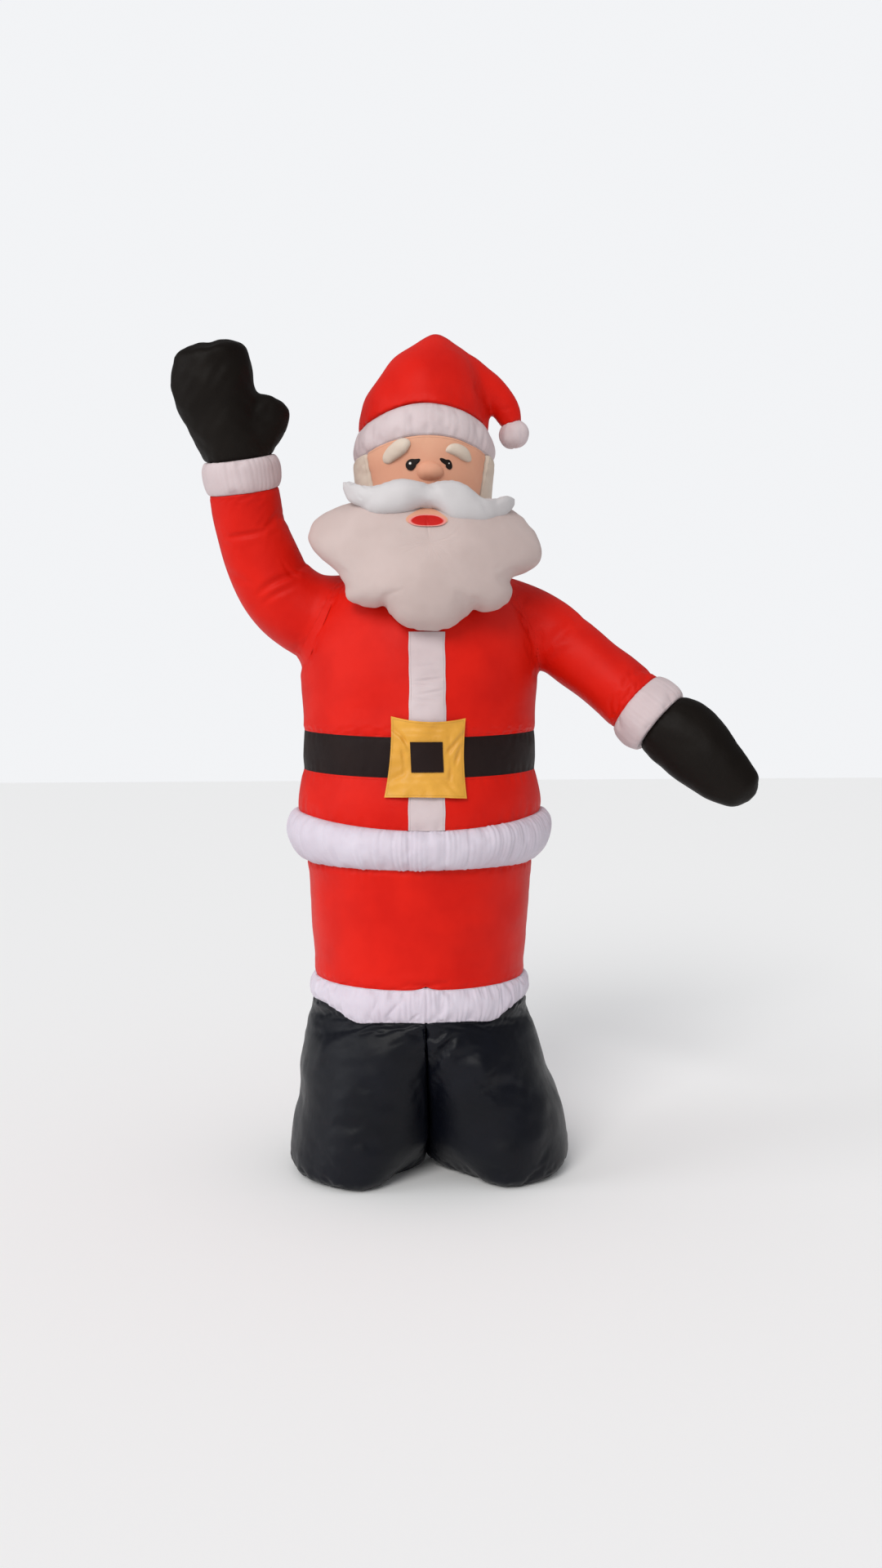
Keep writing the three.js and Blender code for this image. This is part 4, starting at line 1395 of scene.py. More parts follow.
# ---- Arms ----


def centripetal(rows: Array, at: Array) -> Array:
    """A curve through points whose speed between two of them goes with the square root of their distance.

    Each stretch is a cubic from one point to the next. Its slope at a point is the blend of the slopes to the
    points before and after it, and the first and last points are carried on in a straight line.

    Args:
        rows: the points.
        at: shares of the way, with the same share for each stretch.

    Returns:
        A place for each share.
    """
    points = np.vstack([2 * rows[0] - rows[1], rows, 2 * rows[-1] - rows[-2]])
    way = np.clip(at, 0, 1) * (len(rows) - 1)
    i = np.minimum(way.astype(int), len(rows) - 2)
    s = (way - i)[:, None]
    p0, p1, p2, p3 = (points[i + k] for k in range(4))
    pairs = ((p0, p1), (p1, p2), (p2, p3))
    before, here, after = (np.sqrt(np.linalg.norm(b - a, axis=1))[:, None] for a, b in pairs)
    start = ((p1 - p0) / before - (p2 - p0) / (before + here) + (p2 - p1) / here) * here
    end = ((p2 - p1) / here - (p3 - p1) / (here + after) + (p3 - p2) / after) * here
    square = 3 * (p2 - p1) - 2 * start - end
    cube = 2 * (p1 - p2) + start + end
    return p1 + start * s + square * s**2 + cube * s**3


@dataclass
class Limb:
    """A round form along a curve.

    Attributes:
        rows: x, y, z and the radius at each point of its middle line.
        steps: at how many places the middle line is worked out.
    """

    rows: Table
    steps: int = 241

    def __post_init__(self) -> None:
        """Works out the middle line, the radius and the three directions at many places."""
        rows = np.array(self.rows, float)
        self.at = np.linspace(0, 1, self.steps)
        self.middle = centripetal(rows[:, :3], self.at)
        self.radius = Curve(np.column_stack([np.linspace(0, 1, len(rows)), rows[:, 3]]))
        self.length = float(np.linalg.norm(np.diff(self.middle, axis=0), axis=1).sum())
        self.along = unit(np.gradient(self.middle, axis=0))
        self.across = unit(xyz(self.along[:, 2], 0.0, -self.along[:, 0]))
        self.behind = np.cross(self.along, self.across)

    def read(self, part: Array, t: Array) -> Array:
        """One of the worked-out lines at some shares of the length."""
        return np.stack([np.interp(t, self.at, column) for column in part.T], axis=-1)

    def nearest(self, points: Array) -> tuple[Array, Array]:
        """How far points are outside the form, and which place of its middle line they are nearest to.

        Args:
            points: places, with x, y and z on the last axis.

        Returns:
            The distances in millimetres, and the numbers of the places.
        """
        flat = points.reshape(-1, 3)
        best = np.full(len(flat), 1e9)
        which = np.zeros(len(flat), int)
        for i in range(0, self.steps, 3):
            gap = np.linalg.norm(flat - self.middle[i], axis=1) - self.radius(self.at[i])
            closer = gap < best
            best[closer] = gap[closer]
            which[closer] = i
        return best.reshape(points.shape[:-1]), which.reshape(points.shape[:-1])

    def distance(self, points: Array) -> Array:
        """How far points are outside the form: to the nearest ball of its radius along its middle line."""
        return self.nearest(points)[0]

    def share(self, points: Array) -> Array:
        """How far around the form points are, from 0 to 1."""
        _, i = self.nearest(points)
        away = points - self.middle[i]
        return np.arctan2((away * self.behind[i]).sum(-1), (away * self.across[i]).sum(-1)) / TAU % 1

    def tube(self, t: Array, share: Array) -> tuple[Array, Array]:
        """Points on the form and the ways out of it: the cosine across and the sine behind, times the radius.

        Args:
            t: shares of the length.
            share: shares of a turn.

        Returns:
            The points and the unit directions.
        """
        t, share = np.broadcast_arrays(t, share)
        angle = (TAU * share)[..., None]
        out = self.read(self.across, t) * np.cos(angle) + self.read(self.behind, t) * np.sin(angle)
        return self.read(self.middle, t) + self.radius(t)[..., None] * out, out

    def on_end(self, points: Array, beyond: float) -> Array:
        """Moves points that are built upwards from nought onto the end of the form, a distance beyond it."""
        base = self.middle[-1] + self.along[-1] * beyond
        return base + points @ np.stack([self.across[-1], self.behind[-1], self.along[-1]])


THUMB = ((0, 92), (60, 87), (105, 76), (140, 60), (163, 39), (176, 11))  # height and radius


def turned(x: int, y: int, degrees: float) -> Array:
    """The matrix that turns row vectors by an angle in the plane of two axes, numbered x and y."""
    made, angle = np.eye(3), math.radians(degrees)
    made[[x, y], [x, y]] = math.cos(angle)
    made[x, y], made[y, x] = math.sin(angle), -math.sin(angle)
    return made


@dataclass(frozen=True)
class Thumb:
    """How a thumb leaves its mitten.

    Attributes:
        turn: which way around the mitten it stands, in degrees.
        tilt: how far it leans from the mitten's axis, in degrees.
        rise: how far up the mitten it starts.
        start: how far back along its own axis it starts.
    """

    turn: float
    tilt: float
    rise: float
    start: float

    def skin(self) -> Skin:
        """The thumb: rounds around its own axis, a fifth flatter one way, leaned over and turned."""
        share = turns(80)
        up = (THUMB[-1][0] * np.sin(np.linspace(0, math.pi / 2, 40)))[:, None]
        radius = Curve(THUMB)(up)
        points = xyz(radius * np.cos(TAU * share), 0.8 * radius * np.sin(TAU * share), up + self.start)
        points = points @ turned(2, 0, self.tilt) @ turned(0, 1, self.turn) + [0, 0, self.rise]
        points[..., 2] = np.maximum(points[..., 2], 0.5)
        return Skin(points)


MITTEN_ROUND = 580.0  # the length around a mitten and its cuff, for the stitches


@dataclass
class Arm:
    """A sleeve along a curve, a gathered cuff and a mitten with a thumb.

    Attributes:
        side: right or left, the figure's own.
        sleeve: the rows of the sleeve's middle line, with x, y, z and the radius.
        hand: the rows of the mitten along its own axis: at, sideways shift, half width and half depth.
        thumb: how the thumb stands.
        seed: the pattern of its puckers.
        folds: the creases of its sleeve.
        dents: places on the mitten, with their reach and depth.
        lumps: how lumpy the mitten is.
        cuff_length: how long the cuff is.
        cuff_inner: its radius at its seams.
        cuff_roll: how far it stands out between them.
        wrist: the length of each of its seams.
        overlap: how far the sleeve reaches into the jacket.
    """

    side: str
    sleeve: Table
    hand: Table
    thumb: Thumb
    seed: int
    folds: tuple[Fold, ...] = ()
    dents: Table = ()
    lumps: float = 1.0
    cuff_length: float = 91.0
    cuff_inner: float = 94.0
    cuff_roll: float = 14.0
    wrist: float = 560.0
    overlap: float = 16.0

    def __post_init__(self) -> None:
        """Makes the sleeve's form and the seams that its pieces share."""
        self.limb = Limb(self.sleeve)
        self.armhole_seam = Seam(720, self.seed, 0.4, groove=0.0)
        self.wrist_seam = Seam(self.wrist, self.seed + 3, 0.9)
        self.mitten_seam = Seam(self.wrist, self.seed + 6, 0.9)

    def start(self, torso: Torso, share: Array) -> Array:
        """Where the armhole lies along the sleeve in each direction around it.

        It is where a point that has moved out to the union of the two forms is as far from the one as from the
        other.

        Args:
            torso: the body that the sleeve is sewn to.
            share: the directions around.

        Returns:
            The share of the sleeve's length for each direction.
        """
        t = np.linspace(0.02, 0.98, 150)
        points, out = self.limb.tube(t[:, None], share)
        moved = flow_into(points, out, torso.distance, torso.armhole)
        beyond = torso.distance(points + out * moved[..., None]) - moved
        last = len(t) - 2 - np.argmax(beyond[-2::-1] < 0, axis=0)
        column = np.arange(share.size)
        low, high = beyond[last, column], beyond[last + 1, column]
        start = t[last] + (t[1] - t[0]) * np.clip(-low / np.maximum(high - low, 1e-6), 0, 1)
        for _ in range(6):
            start = (np.roll(start, 1) + 2 * start + np.roll(start, -1)) / 4
        return start

    def sleeve_skin(self, torso: Torso) -> Skin:
        """The sleeve from its armhole to the cuff, with puckers at both and its creases.

        Args:
            torso: the body that it is sewn to.

        Returns:
            The sleeve.
        """
        share, long = turns(150), self.limb.length
        start = self.start(torso, share)
        t = mixed(start - self.overlap / long, 1.0, tightened(steps(116), 0.6))
        points, out = self.limb.tube(t, share)
        past = (t - start) * long
        from_armhole, from_cuff = np.maximum(past, 0), (1 - t) * long
        stand = flow_into(points, out, torso.distance, torso.armhole) - 3 * (1 - eased(past, -self.overlap, 0))
        stand = stand + self.armhole_seam.puckers(share, from_armhole)
        stand = stand + self.wrist_seam.puckers(share, from_cuff)
        stand = stand + 1.3 * unevenness(points, 130, self.seed + 5) * eased(past, 0, 50)
        skin = Skin(points + out * stand[..., None], np.minimum(from_armhole, from_cuff), 660.0)
        return folded(skin, self.folds).aired(0.45)

    def cuff_skin(self) -> Skin:
        """The gathered roll at the wrist: a drum whose side is half a roll, with pleats from seam to seam."""
        share, theta = turns(230), math.pi * steps(38)
        angle = TAU * share
        radius = self.cuff_inner + self.cuff_roll * np.sin(theta) ** 0.7
        points = xyz(radius * np.cos(angle), radius * np.sin(angle), self.cuff_length * (1 - np.cos(theta)) / 2)
        below, above = over_roll(theta, self.cuff_length, self.cuff_roll)
        nearest = np.minimum(below, above)
        stand = self.wrist_seam.puckers(share, below) + self.mitten_seam.puckers(share, above)
        drift = theta / math.pi * 2
        tight = pleats(share, 38, self.seed + 7, drift) * (0.4 + 0.6 * np.exp(-nearest / 24))
        wide = 0.9 * pleats(share, 17, self.seed + 8, drift * 0.6)
        swell = 0.85 * (tight + wide) + 1.4 * unevenness(points, 80, self.seed + 9)
        swell = swell * (1 - np.exp(-nearest / 4))
        level = xyz(np.cos(angle), np.sin(angle), 0.0)
        points = points + level * stand[..., None] + grid_normals(points) * swell[..., None]
        return Skin(self.limb.on_end(points, 0.3), nearest, MITTEN_ROUND).aired(0.6)

    def mitten_shape(self) -> Shape:
        """The mitten: a hand and a thumb in one skin, with puckers at the cuff, an edge seam and dents.

        The hand's rows are ovals around its own axis.

        Returns:
            The mitten on the wrist.
        """
        angle = TAU * turns(80)
        at = (self.hand[-1][0] * np.sin(np.linspace(0, math.pi / 2, 60)))[:, None]
        shift, wide, deep = np.moveaxis(Curve(self.hand)(at), -1, 0)
        hand = Skin(xyz(shift + wide * np.cos(angle), deep * np.sin(angle), at))
        whole = one_skin([hand.shape(), self.thumb.skin().shape()], 7.0, 4)
        whole = whole.aired(whole.points[:, 2] < 7, 0.5 * self.lumps)
        x, y, z = whole.points.T
        turn = np.arctan2(y, x) / TAU % 1
        edge_seam = Seam(900, self.seed + 11, 0.55, groove=1.3)
        stand = self.mitten_seam.puckers(turn, np.maximum(z, 0))
        stand = stand + edge_seam.puckers((z * 0.6 + x) / edge_seam.length % 1, np.abs(y + 4))
        for height, length, pattern in ((1.8, 100, 12), (0.6, 42, 13)):
            stand = stand + height * self.lumps * unevenness(whole.points, length, self.seed + pattern)
        for *place, reach, depth in self.dents:
            away = np.linalg.norm(whole.points - place, axis=1)
            stand = stand - depth * np.exp(-((away / reach) ** 2))
        whole.push(stand * eased(z, -1, 3))
        whole.points[:, 2] = np.maximum(whole.points[:, 2], 0.0)
        whole.values = {"seam": np.maximum(z, 0), "along": turn * MITTEN_ROUND, "down": z}
        whole.around = MITTEN_ROUND
        whole.points = self.limb.on_end(whole.points, self.cuff_length + 0.6)
        return whole

    def build(self, shop: Workshop, torso: Torso) -> None:
        """Makes the sleeve, the cuff and the mitten.

        Args:
            shop: where pieces are made.
            torso: the body that the sleeve is sewn to.
        """
        shop.piece(f"sleeve_{self.side}", self.sleeve_skin(torso), RED, "red")
        shop.piece(f"cuff_{self.side}", self.cuff_skin(), WHITE, "white")
        shop.piece(f"mitten_{self.side}", self.mitten_shape(), BLACK, "black")


def waving_arm() -> Arm:
    """The figure's right arm, raised beside its head."""
    sleeve = (  # x, y, z, radius
        (-120, 0, 1590, 122), (-230, 0, 1590, 126), (-330, -2, 1618, 121), (-407, -8, 1685, 112),
        (-452, -20, 1774, 106), (-482, -32, 1858, 100), (-496, -50, 1954, 96),
    )  # fmt: skip
    hand = (  # at, shift, half width, half depth
        (0, 0, 96, 88), (40, -9, 100, 90), (100, -23, 107, 93), (156, -34, 113, 93), (210, -40, 115, 90),
        (240, -39, 115, 86), (280, -33, 106, 75), (308, -27, 86, 57), (327, -18, 30, 18),
    )  # fmt: skip
    folds = (
        Fold((-560, 1822), (-428, 1842), 10, 3.8, -6),
        Fold((-470, 1655), (-340, 1724), 14, 7.0, 10),
        Fold((-455, 1630), (-345, 1688), 12, 4.0, 8),
        Fold((-545, 1735), (-470, 1690), 14, 2.5, -6),
        Fold((-395, 1765), (-330, 1700), 10, 3.0, -10),
    )
    dents = ((-28, 0, 328, 15, 20), (-30, -36, 312, 22, 8), (-156, 0, 236, 12, 11), (-30, 36, 312, 22, 6))
    return Arm("right", sleeve, hand, Thumb(0, 65, 56, -10), 200, folds, dents)


def held_out_arm() -> Arm:
    """The figure's left arm, held out and down."""
    sleeve = (  # x, y, z, radius
        (90, 0, 1600, 112), (210, 0, 1616, 106), (329, -5, 1589, 99), (424, -40, 1516, 94),
        (520, -85, 1439, 93), (611, -129, 1358, 92),
    )  # fmt: skip
    hand = (  # at, shift, half width, half depth
        (0, -8, 93, 86), (30, -12, 102, 90), (82, -14, 108, 91), (130, -12, 105, 89), (185, -8, 94, 83),
        (248, -5, 79, 71), (288, -7, 66, 59), (313, -9, 48, 43), (330, -9, 16, 13),
    )  # fmt: skip
    folds = (Fold((345, 1500), (440, 1590), 22, 3.5, 8), Fold((370, 1480), (430, 1520), 14, 2.0, 4))
    return Arm("left", sleeve, hand, Thumb(90, 70, 46, -20), 300, folds, lumps=0.4)


# ---- Head ----

# The head: z, y, half width and half depth.
HEAD = (
    (1748, 0, 128, 136), (1800, -3, 158, 170), (1880, -5, 175, 192), (1960, -6, 180, 202), (2020, -6, 188, 206),
    (2062, -6, 194, 208), (2180, -6, 190, 204),
)  # fmt: skip
BRIM_PROFILE = ((0, 187), (0.12, 192), (0.38, 196), (0.7, 192), (1, 182))  # share of the way up, and radius


@dataclass
class Brim:
    """The hat's band: around a tilted circle that is higher in front, and arched over the face.

    Attributes:
        centre: the middle of the circle.
        height: from its lower seam to its upper.
        tilt: in degrees.
        deeper: how much deeper than wide it is.
        arch: how far its sides hang below the tilted plane.
        profile: its radius at each share of the way up.
    """

    centre: tuple[float, float, float] = (14.0, -6.0, 2099.0)
    height: float = 94.0
    tilt: float = 11.6
    deeper: float = 12.0
    arch: float = 23.0
    profile: Curve = field(default_factory=lambda: Curve(BRIM_PROFILE))

    def ring(self, angle: Array, level: Array | float) -> Array:
        """Points on the band: an oval in the tilted plane, lowered by arch * (1 - front^3) away from its front.

        Args:
            angle: the angle around the head.
            level: the share of the way up the band.

        Returns:
            The points.
        """
        tilt = math.radians(self.tilt)
        radius = self.profile(level)
        x, y = radius * np.cos(angle), (radius + self.deeper) * np.sin(angle)
        up = (level - 0.5) * self.height
        hang = self.arch * (1 - np.maximum(-np.sin(angle), 0) ** 3)
        lift = -y * math.sin(tilt) + up * math.cos(tilt) - hang
        return xyz(x, y * math.cos(tilt) + up * math.sin(tilt), lift) + self.centre

    def skin(self, lower: Seam, upper: Seam) -> Skin:
        """The band's cloth, with gathers from seam to seam.

        Args:
            lower: its seam with the head.
            upper: its seam with the hat.

        Returns:
            The band.
        """
        share, level = turns(480), (1 - np.cos(math.pi * steps(32))) / 2
        points = self.ring(TAU * share, level)
        below, above = level * self.height, (1 - level) * self.height
        nearest = np.minimum(below, above)
        puff = 5 * np.sqrt(np.maximum(1 - (2 * level - 1) ** 2, 0))
        gathers = pleats(share, lower.length / 22, 700, level * 2) * (0.5 + 0.5 * np.exp(-nearest / 22))
        gathers = gathers + 0.7 * pleats(share, lower.length / 48, 701, level * 1.2)
        swell = (0.75 * gathers + 1.5 * unevenness(points, 90, 702)) * (1 - np.exp(-nearest / 5))
        stand = puff + lower.puckers(share, below) + upper.puckers(share, above) + swell
        out = unit((points - points.mean(axis=1, keepdims=True)) * [1, 1, 0])
        return Skin(points + out * stand[..., None], nearest, lower.length).aired(0.5)


@dataclass
class Head:
    """The head under the hat: a face panel in front, and hair round its sides and back.

    Attributes:
        x: the head's middle.
        face_back: the plane of the seam between face and hair.
        fuller: how much fuller the hair stands than the face.
        section: y, the half width and the half depth at each height.
        brim: the hat's band above it.
        brim_seam: between the head and the band.
        hat_seam: between the band and the hat.
        side_seam: between the face and the hair.
    """

    x: float = 14.0
    face_back: float = -112.0
    fuller: float = 6.0
    section: Curve = field(default_factory=lambda: Curve(HEAD))
    brim: Brim = field(default_factory=Brim)
    brim_seam: Seam = Seam(1230, 40, 0.7)
    hat_seam: Seam = Seam(1160, 43, 0.7)
    side_seam: Seam = Seam(340, 46, 0.8)

    def front(self, x: Array, z: Array, fuller: float = 0.0) -> Array:
        """Where the front of the head lies at a place: its oval solved for y, and far back beside it."""
        half = self.section(z)
        inside = 1 - ((x - self.x) / (half[..., 1] + fuller)) ** 2
        y = half[..., 0] - (half[..., 2] + fuller) * np.sqrt(np.maximum(inside, 0))
        return np.where((inside > 0) & (z > NECK.z), y, FAR)

    def half_skin(self, front: bool) -> Skin:
        """The face or the hair: an arc of each oval, closed by a flat wall along the seam's plane.

        Args:
            front: whether it is the face.

        Returns:
            The piece.
        """
        fuller = 0.0 if front else self.fuller
        plane = self.face_back if front else self.face_back + 0.3
        rows, columns, flat = 76, 136, 16  # up the piece, along its arc and along its wall
        v = tightened(steps(rows), 0.5)
        floor = NECK.z + 0.15
        guess = self.section(mixed(floor, 2080, v))
        corner = np.arcsin(np.clip((plane - guess[..., 0]) / (guess[..., 2] + fuller), -1, 0))
        first, last = (-math.pi - corner, corner) if front else (corner, math.pi - corner)
        angle = mixed(first, last, tightened(steps(columns).T, 0.5))
        top = self.brim.ring(angle, 0.0)[..., 2] - 0.3
        z = mixed(floor, top, v)
        y0, wide, deep = np.moveaxis(self.section(z), -1, 0)
        points = xyz(self.x + (wide + fuller) * np.cos(angle), y0 + (deep + fuller) * np.sin(angle), z)
        length = np.linalg.norm(np.diff(points, axis=1), axis=-1).cumsum(axis=1)
        length = np.concatenate([np.zeros((rows, 1)), length], axis=1)
        beside, below = np.minimum(length, length[:, -1:] - length), top - z
        out = grid_normals(np.concatenate([points[:, :1], points, points[:, -1:]], axis=1))[:, 1:-1]
        puff = (3.0 if front else 8.0) * (1 - np.exp(-beside / 20))
        stand = puff + self.side_seam.puckers(v, beside) + self.brim_seam.puckers(angle / TAU % 1, below)
        stand = stand + 1.2 * unevenness(points, 110, 720 + front)
        points = points + unit(out * [1, 1, 0]) * stand[..., None]
        points[..., 1] = np.minimum(points[..., 1], plane) if front else np.maximum(points[..., 1], plane)
        wall = mixed(points[:, -1:], points[:, :1], np.linspace(0, 1, flat + 2)[None, 1:-1, None])
        seam = np.concatenate([np.minimum(beside, below), np.full((rows, flat), FAR)], axis=1)
        skin = Skin(np.concatenate([points, wall], axis=1), seam, self.brim_seam.length)
        return skin if front else skin.aired(0.45, (seam < 4) | (seam > 400) | (v < 0.01))

    def build(self, shop: Workshop) -> None:
        """Makes the face, the hair and the band in a workshop."""
        shop.piece("face", self.half_skin(True), SKIN, "skin")
        shop.piece("hair", self.half_skin(False), CREAM, "hair_white")
        shop.piece("hat_brim", self.brim.skin(self.brim_seam, self.hat_seam), WHITE, "white")


def ball_skin(centre: Sequence[float], half: Sequence[float], rows: int, columns: int, axis: int = 2) -> Skin:
    """A ball with half sizes: the sine of the height times the cosine and the sine of the angle.

    Args:
        centre: its middle.
        half: its half sizes along x, y and z.
        rows: how many points go from pole to pole.
        columns: how many go around.
        axis: the axis that its poles stand on.

    Returns:
        The ball.
    """
    theta, angle = np.linspace(0.02, math.pi - 0.02, rows)[:, None], TAU * turns(columns)
    ball = xyz(np.sin(theta) * np.cos(angle), np.sin(theta) * np.sin(angle), -np.cos(theta))
    ball = np.roll(ball, axis - 2, axis=-1)
    return Skin(ball * half + centre, around=TAU * float(np.mean(half)))


class Place(Enum):
    """A side of the face, as the figure's own."""

    RIGHT = "right"
    LEFT = "left"


# Each brow's share of the way, x, z and half height.
BROWS = {
    Place.RIGHT: (
        (0, -36, 2068, 15), (0.2, -49, 2068, 20), (0.5, -73, 2056, 22), (0.8, -96, 2034, 18),
        (1, -107, 2023, 13),
    ),  # fmt: skip
    Place.LEFT: (
        (0, 60, 2050, 9), (0.2, 75, 2055, 14), (0.5, 99, 2053, 18), (0.8, 122, 2039, 16),
        (1, 134, 2029, 11),
    ),  # fmt: skip
}


@dataclass(frozen=True)
class Eye:
    """An eye.

    Attributes:
        middle: x and z of its middle.
        outline: its reach in each direction, in degrees.
        glint: x, z and the radius of its glint, a painted highlight in the spot colour.
        share: its area over its width times its height.
    """

    middle: tuple[float, float]
    outline: Table
    glint: tuple[float, float, float]
    share: float


RIGHT_LID = (
    (-180, 17), (-135, 16), (-90, 14), (-45, 11), (-15, 11), (18, 18), (33, 27), (50, 22), (80, 17), (130, 17),
    (180, 17),
)  # fmt: skip
LEFT_LID = (
    (-180, 9), (-140, 8), (-100, 11), (-62, 15), (-30, 14), (0, 12), (45, 12), (90, 13), (125, 18), (149, 27),
    (163, 18), (180, 9),
)  # fmt: skip
# Each eye's glint is a painted highlight: a white dot painted into the eye's colour.
EYES = {
    Place.RIGHT: Eye((-32, 2012), RIGHT_LID, (-37, 2017, 3.2), 0.62),
    Place.LEFT: Eye((67, 2015), LEFT_LID, (70, 2018, 1.6), 0.48),
}
MOUTH_OUTLINE = (
    (-180, 58), (-160, 30), (-120, 11), (-90, 9), (-60, 11), (-20, 28), (0, 51), (20, 46), (50, 39), (90, 39),
    (130, 41), (160, 52), (180, 58),
)  # fmt: skip
LIPS_OUTLINE = (
    (-180, 50), (-160, 34), (-130, 18), (-90, 14), (-50, 18), (-20, 34), (0, 50), (17, 41), (50, 24), (90, 19),
    (130, 24), (163, 41), (180, 50),
)  # fmt: skip


def closed(rows: Table) -> Curve:
    """A curve over -180 to 180 degrees whose ends meet smoothly: its rows are set out three times."""
    table = np.array(rows, float)[:-1]
    return Curve(np.vstack([table + [turn, 0] for turn in (-360.0, 0.0, 360.0)]))


@dataclass
class Features:
    """The face's cushions and patches: the nose, two brows, two eyes, the mouth and the lips.

    Attributes:
        nose: the middle of the nose.
        nose_half: its half sizes.
        cloth: the thickness of a patch.
        mouth: x and z of the middle of the mouth.
        lips: x and z of the middle of the lips.
    """

    nose: tuple[float, float, float] = (17.0, -206.0, 1996.0)
    nose_half: tuple[float, float, float] = (37.0, 26.0, 28.0)
    cloth: float = 1.5
    mouth: tuple[float, float] = (3.0, 1848.0)
    lips: tuple[float, float] = (0.0, 1848.0)

    def nose_skin(self) -> Skin:
        """The nose: a wide ball whose back lies on the face."""
        skin = ball_skin(self.nose, self.nose_half, 60, 90, axis=1)
        return skin.push(0.8 * unevenness(skin.points, 40, 730))

    def brow_skin(self, head: Head, side: Place) -> Skin:
        """A brow: rounds along a bent line on the face, with a half height from the table.

        Args:
            head: the head that it is sewn to.
            side: which brow.

        Returns:
            The brow.
        """
        even = (1 - np.cos(math.pi * np.linspace(0.01, 0.99, 56)[:, None])) / 2
        x, z, half = np.moveaxis(Curve(BROWS[side])(even), -1, 0)
        end = np.sqrt(np.clip(1 - (2 * even - 1) ** 4, 0, 1))
        along = unit(np.stack([np.gradient(x[:, 0]), np.gradient(z[:, 0])], axis=1))
        angle = TAU * turns(64)
        tall, deep = half * end * np.sin(angle), 0.85 * half * end * np.cos(angle)
        x, z = x - along[:, 1:] * tall, z + along[:, :1] * tall
        points = xyz(x, head.front(x, z) - 3 - deep, z)
        return Skin(points, around=90.0).push(0.7 * unevenness(points, 34, 735) * end)

    def patch(
        self, front: Front, middle: Sequence[float], outline: Table, stand: float, size: int, rim: float = 0.0
    ) -> Shape:
        """A flat patch with a curved outline on a surface.

        Args:
            front: where the surface lies at x and z.
            middle: x and z of the patch's middle.
            outline: the reach in each direction, in degrees.
            stand: how far the patch stands off the surface.
            size: how many points go across it.
            rim: how wide its border in the second colour is, or nought.

        Returns:
            The patch.
        """
        angle, reach = round_grid(size)
        away = closed(outline)(np.degrees(angle)) * reach
        x, z = middle[0] + away * np.cos(angle), middle[1] + away * np.sin(angle)
        y = front(x, z) - stand - 0.8 * (1 - reach**2)
        spot = eased(reach, 1 - rim / 20, 1 - rim / 24) if rim else 0.0
        return thin_sheet(xyz(x, y, z), self.cloth, FAR, spot)

    def eye(self, head: Head, eye: Eye) -> Shape:
        """An eye: a black drop whose tail points at the nose, with a small painted highlight (glint)."""
        shape = self.patch(head.front, eye.middle, eye.outline, 3.6, 36)
        x, z, radius = eye.glint
        away = np.hypot(shape.points[:, 0] - x, shape.points[:, 2] - z)
        # Paints the glint into the eye's colour: a painted highlight, white inside its radius.
        shape.values["spot"] = 1 - eased(away, radius - 0.6, radius + 0.6)
        return shape

    def build(self, shop: Workshop, head: Head, beard: Beard) -> None:
        """Makes the features.

        Args:
            shop: where pieces are made.
            head: the head that they are sewn to.
            beard: the beard that carries the mouth.
        """
        shop.piece("nose", self.nose_skin(), SKIN, "skin")
        for side, eye in EYES.items():
            shop.piece(f"brow_{side.value}", self.brow_skin(head, side), CREAM, "hair_white")
            cut = Cut(46, 32, "face", eye.share)
            shop.piece(f"eye_{side.value}", self.eye(head, eye), EYE, "eye_black", cut)
        mouth = self.patch(beard.front, self.mouth, MOUTH_OUTLINE, 2.2, 44)
        shop.piece("mouth", mouth, SKIN, "skin", Cut(116, 60, "beard", 0.75))
        lips = self.patch(beard.front, self.lips, LIPS_OUTLINE, 4.8, 44, 3.0)
        shop.piece("lips", lips, LIP, "lip_red", Cut(98, 45, "mouth", 0.75))


BEARD_OUTLINE = (
    (-180, 311), (-174, 289), (-160, 252), (-145, 252), (-124, 209), (-110, 222), (-90, 234), (-75, 232),
    (-56, 217), (-34, 273), (-19, 263), (-9, 310), (3, 316), (17, 285), (50, 172), (90, 132), (130, 172),
    (155, 262), (167, 312), (180, 312),
)  # fmt: skip
# Creases in from the beard's edge: the direction in degrees, the width, the depth, how far in, and the lean.
BEARD_RUCKS = (
    (-124, 20, 7.0, 95, 4),
    (-154, 22, 4.5, 80, -4),
    (-56, 20, 6.5, 90, -5),
    (-21, 20, 6.0, 85, 5),
    (-100, 14, 2.0, 60, 0),
    (-80, 12, 1.8, 50, 2),
    (172, 16, 2.5, 70, 0),
    (12, 14, 2.5, 60, 0),
    (-38, 12, 2.0, 40, 0),
    (-140, 12, 2.0, 40, 0),
)


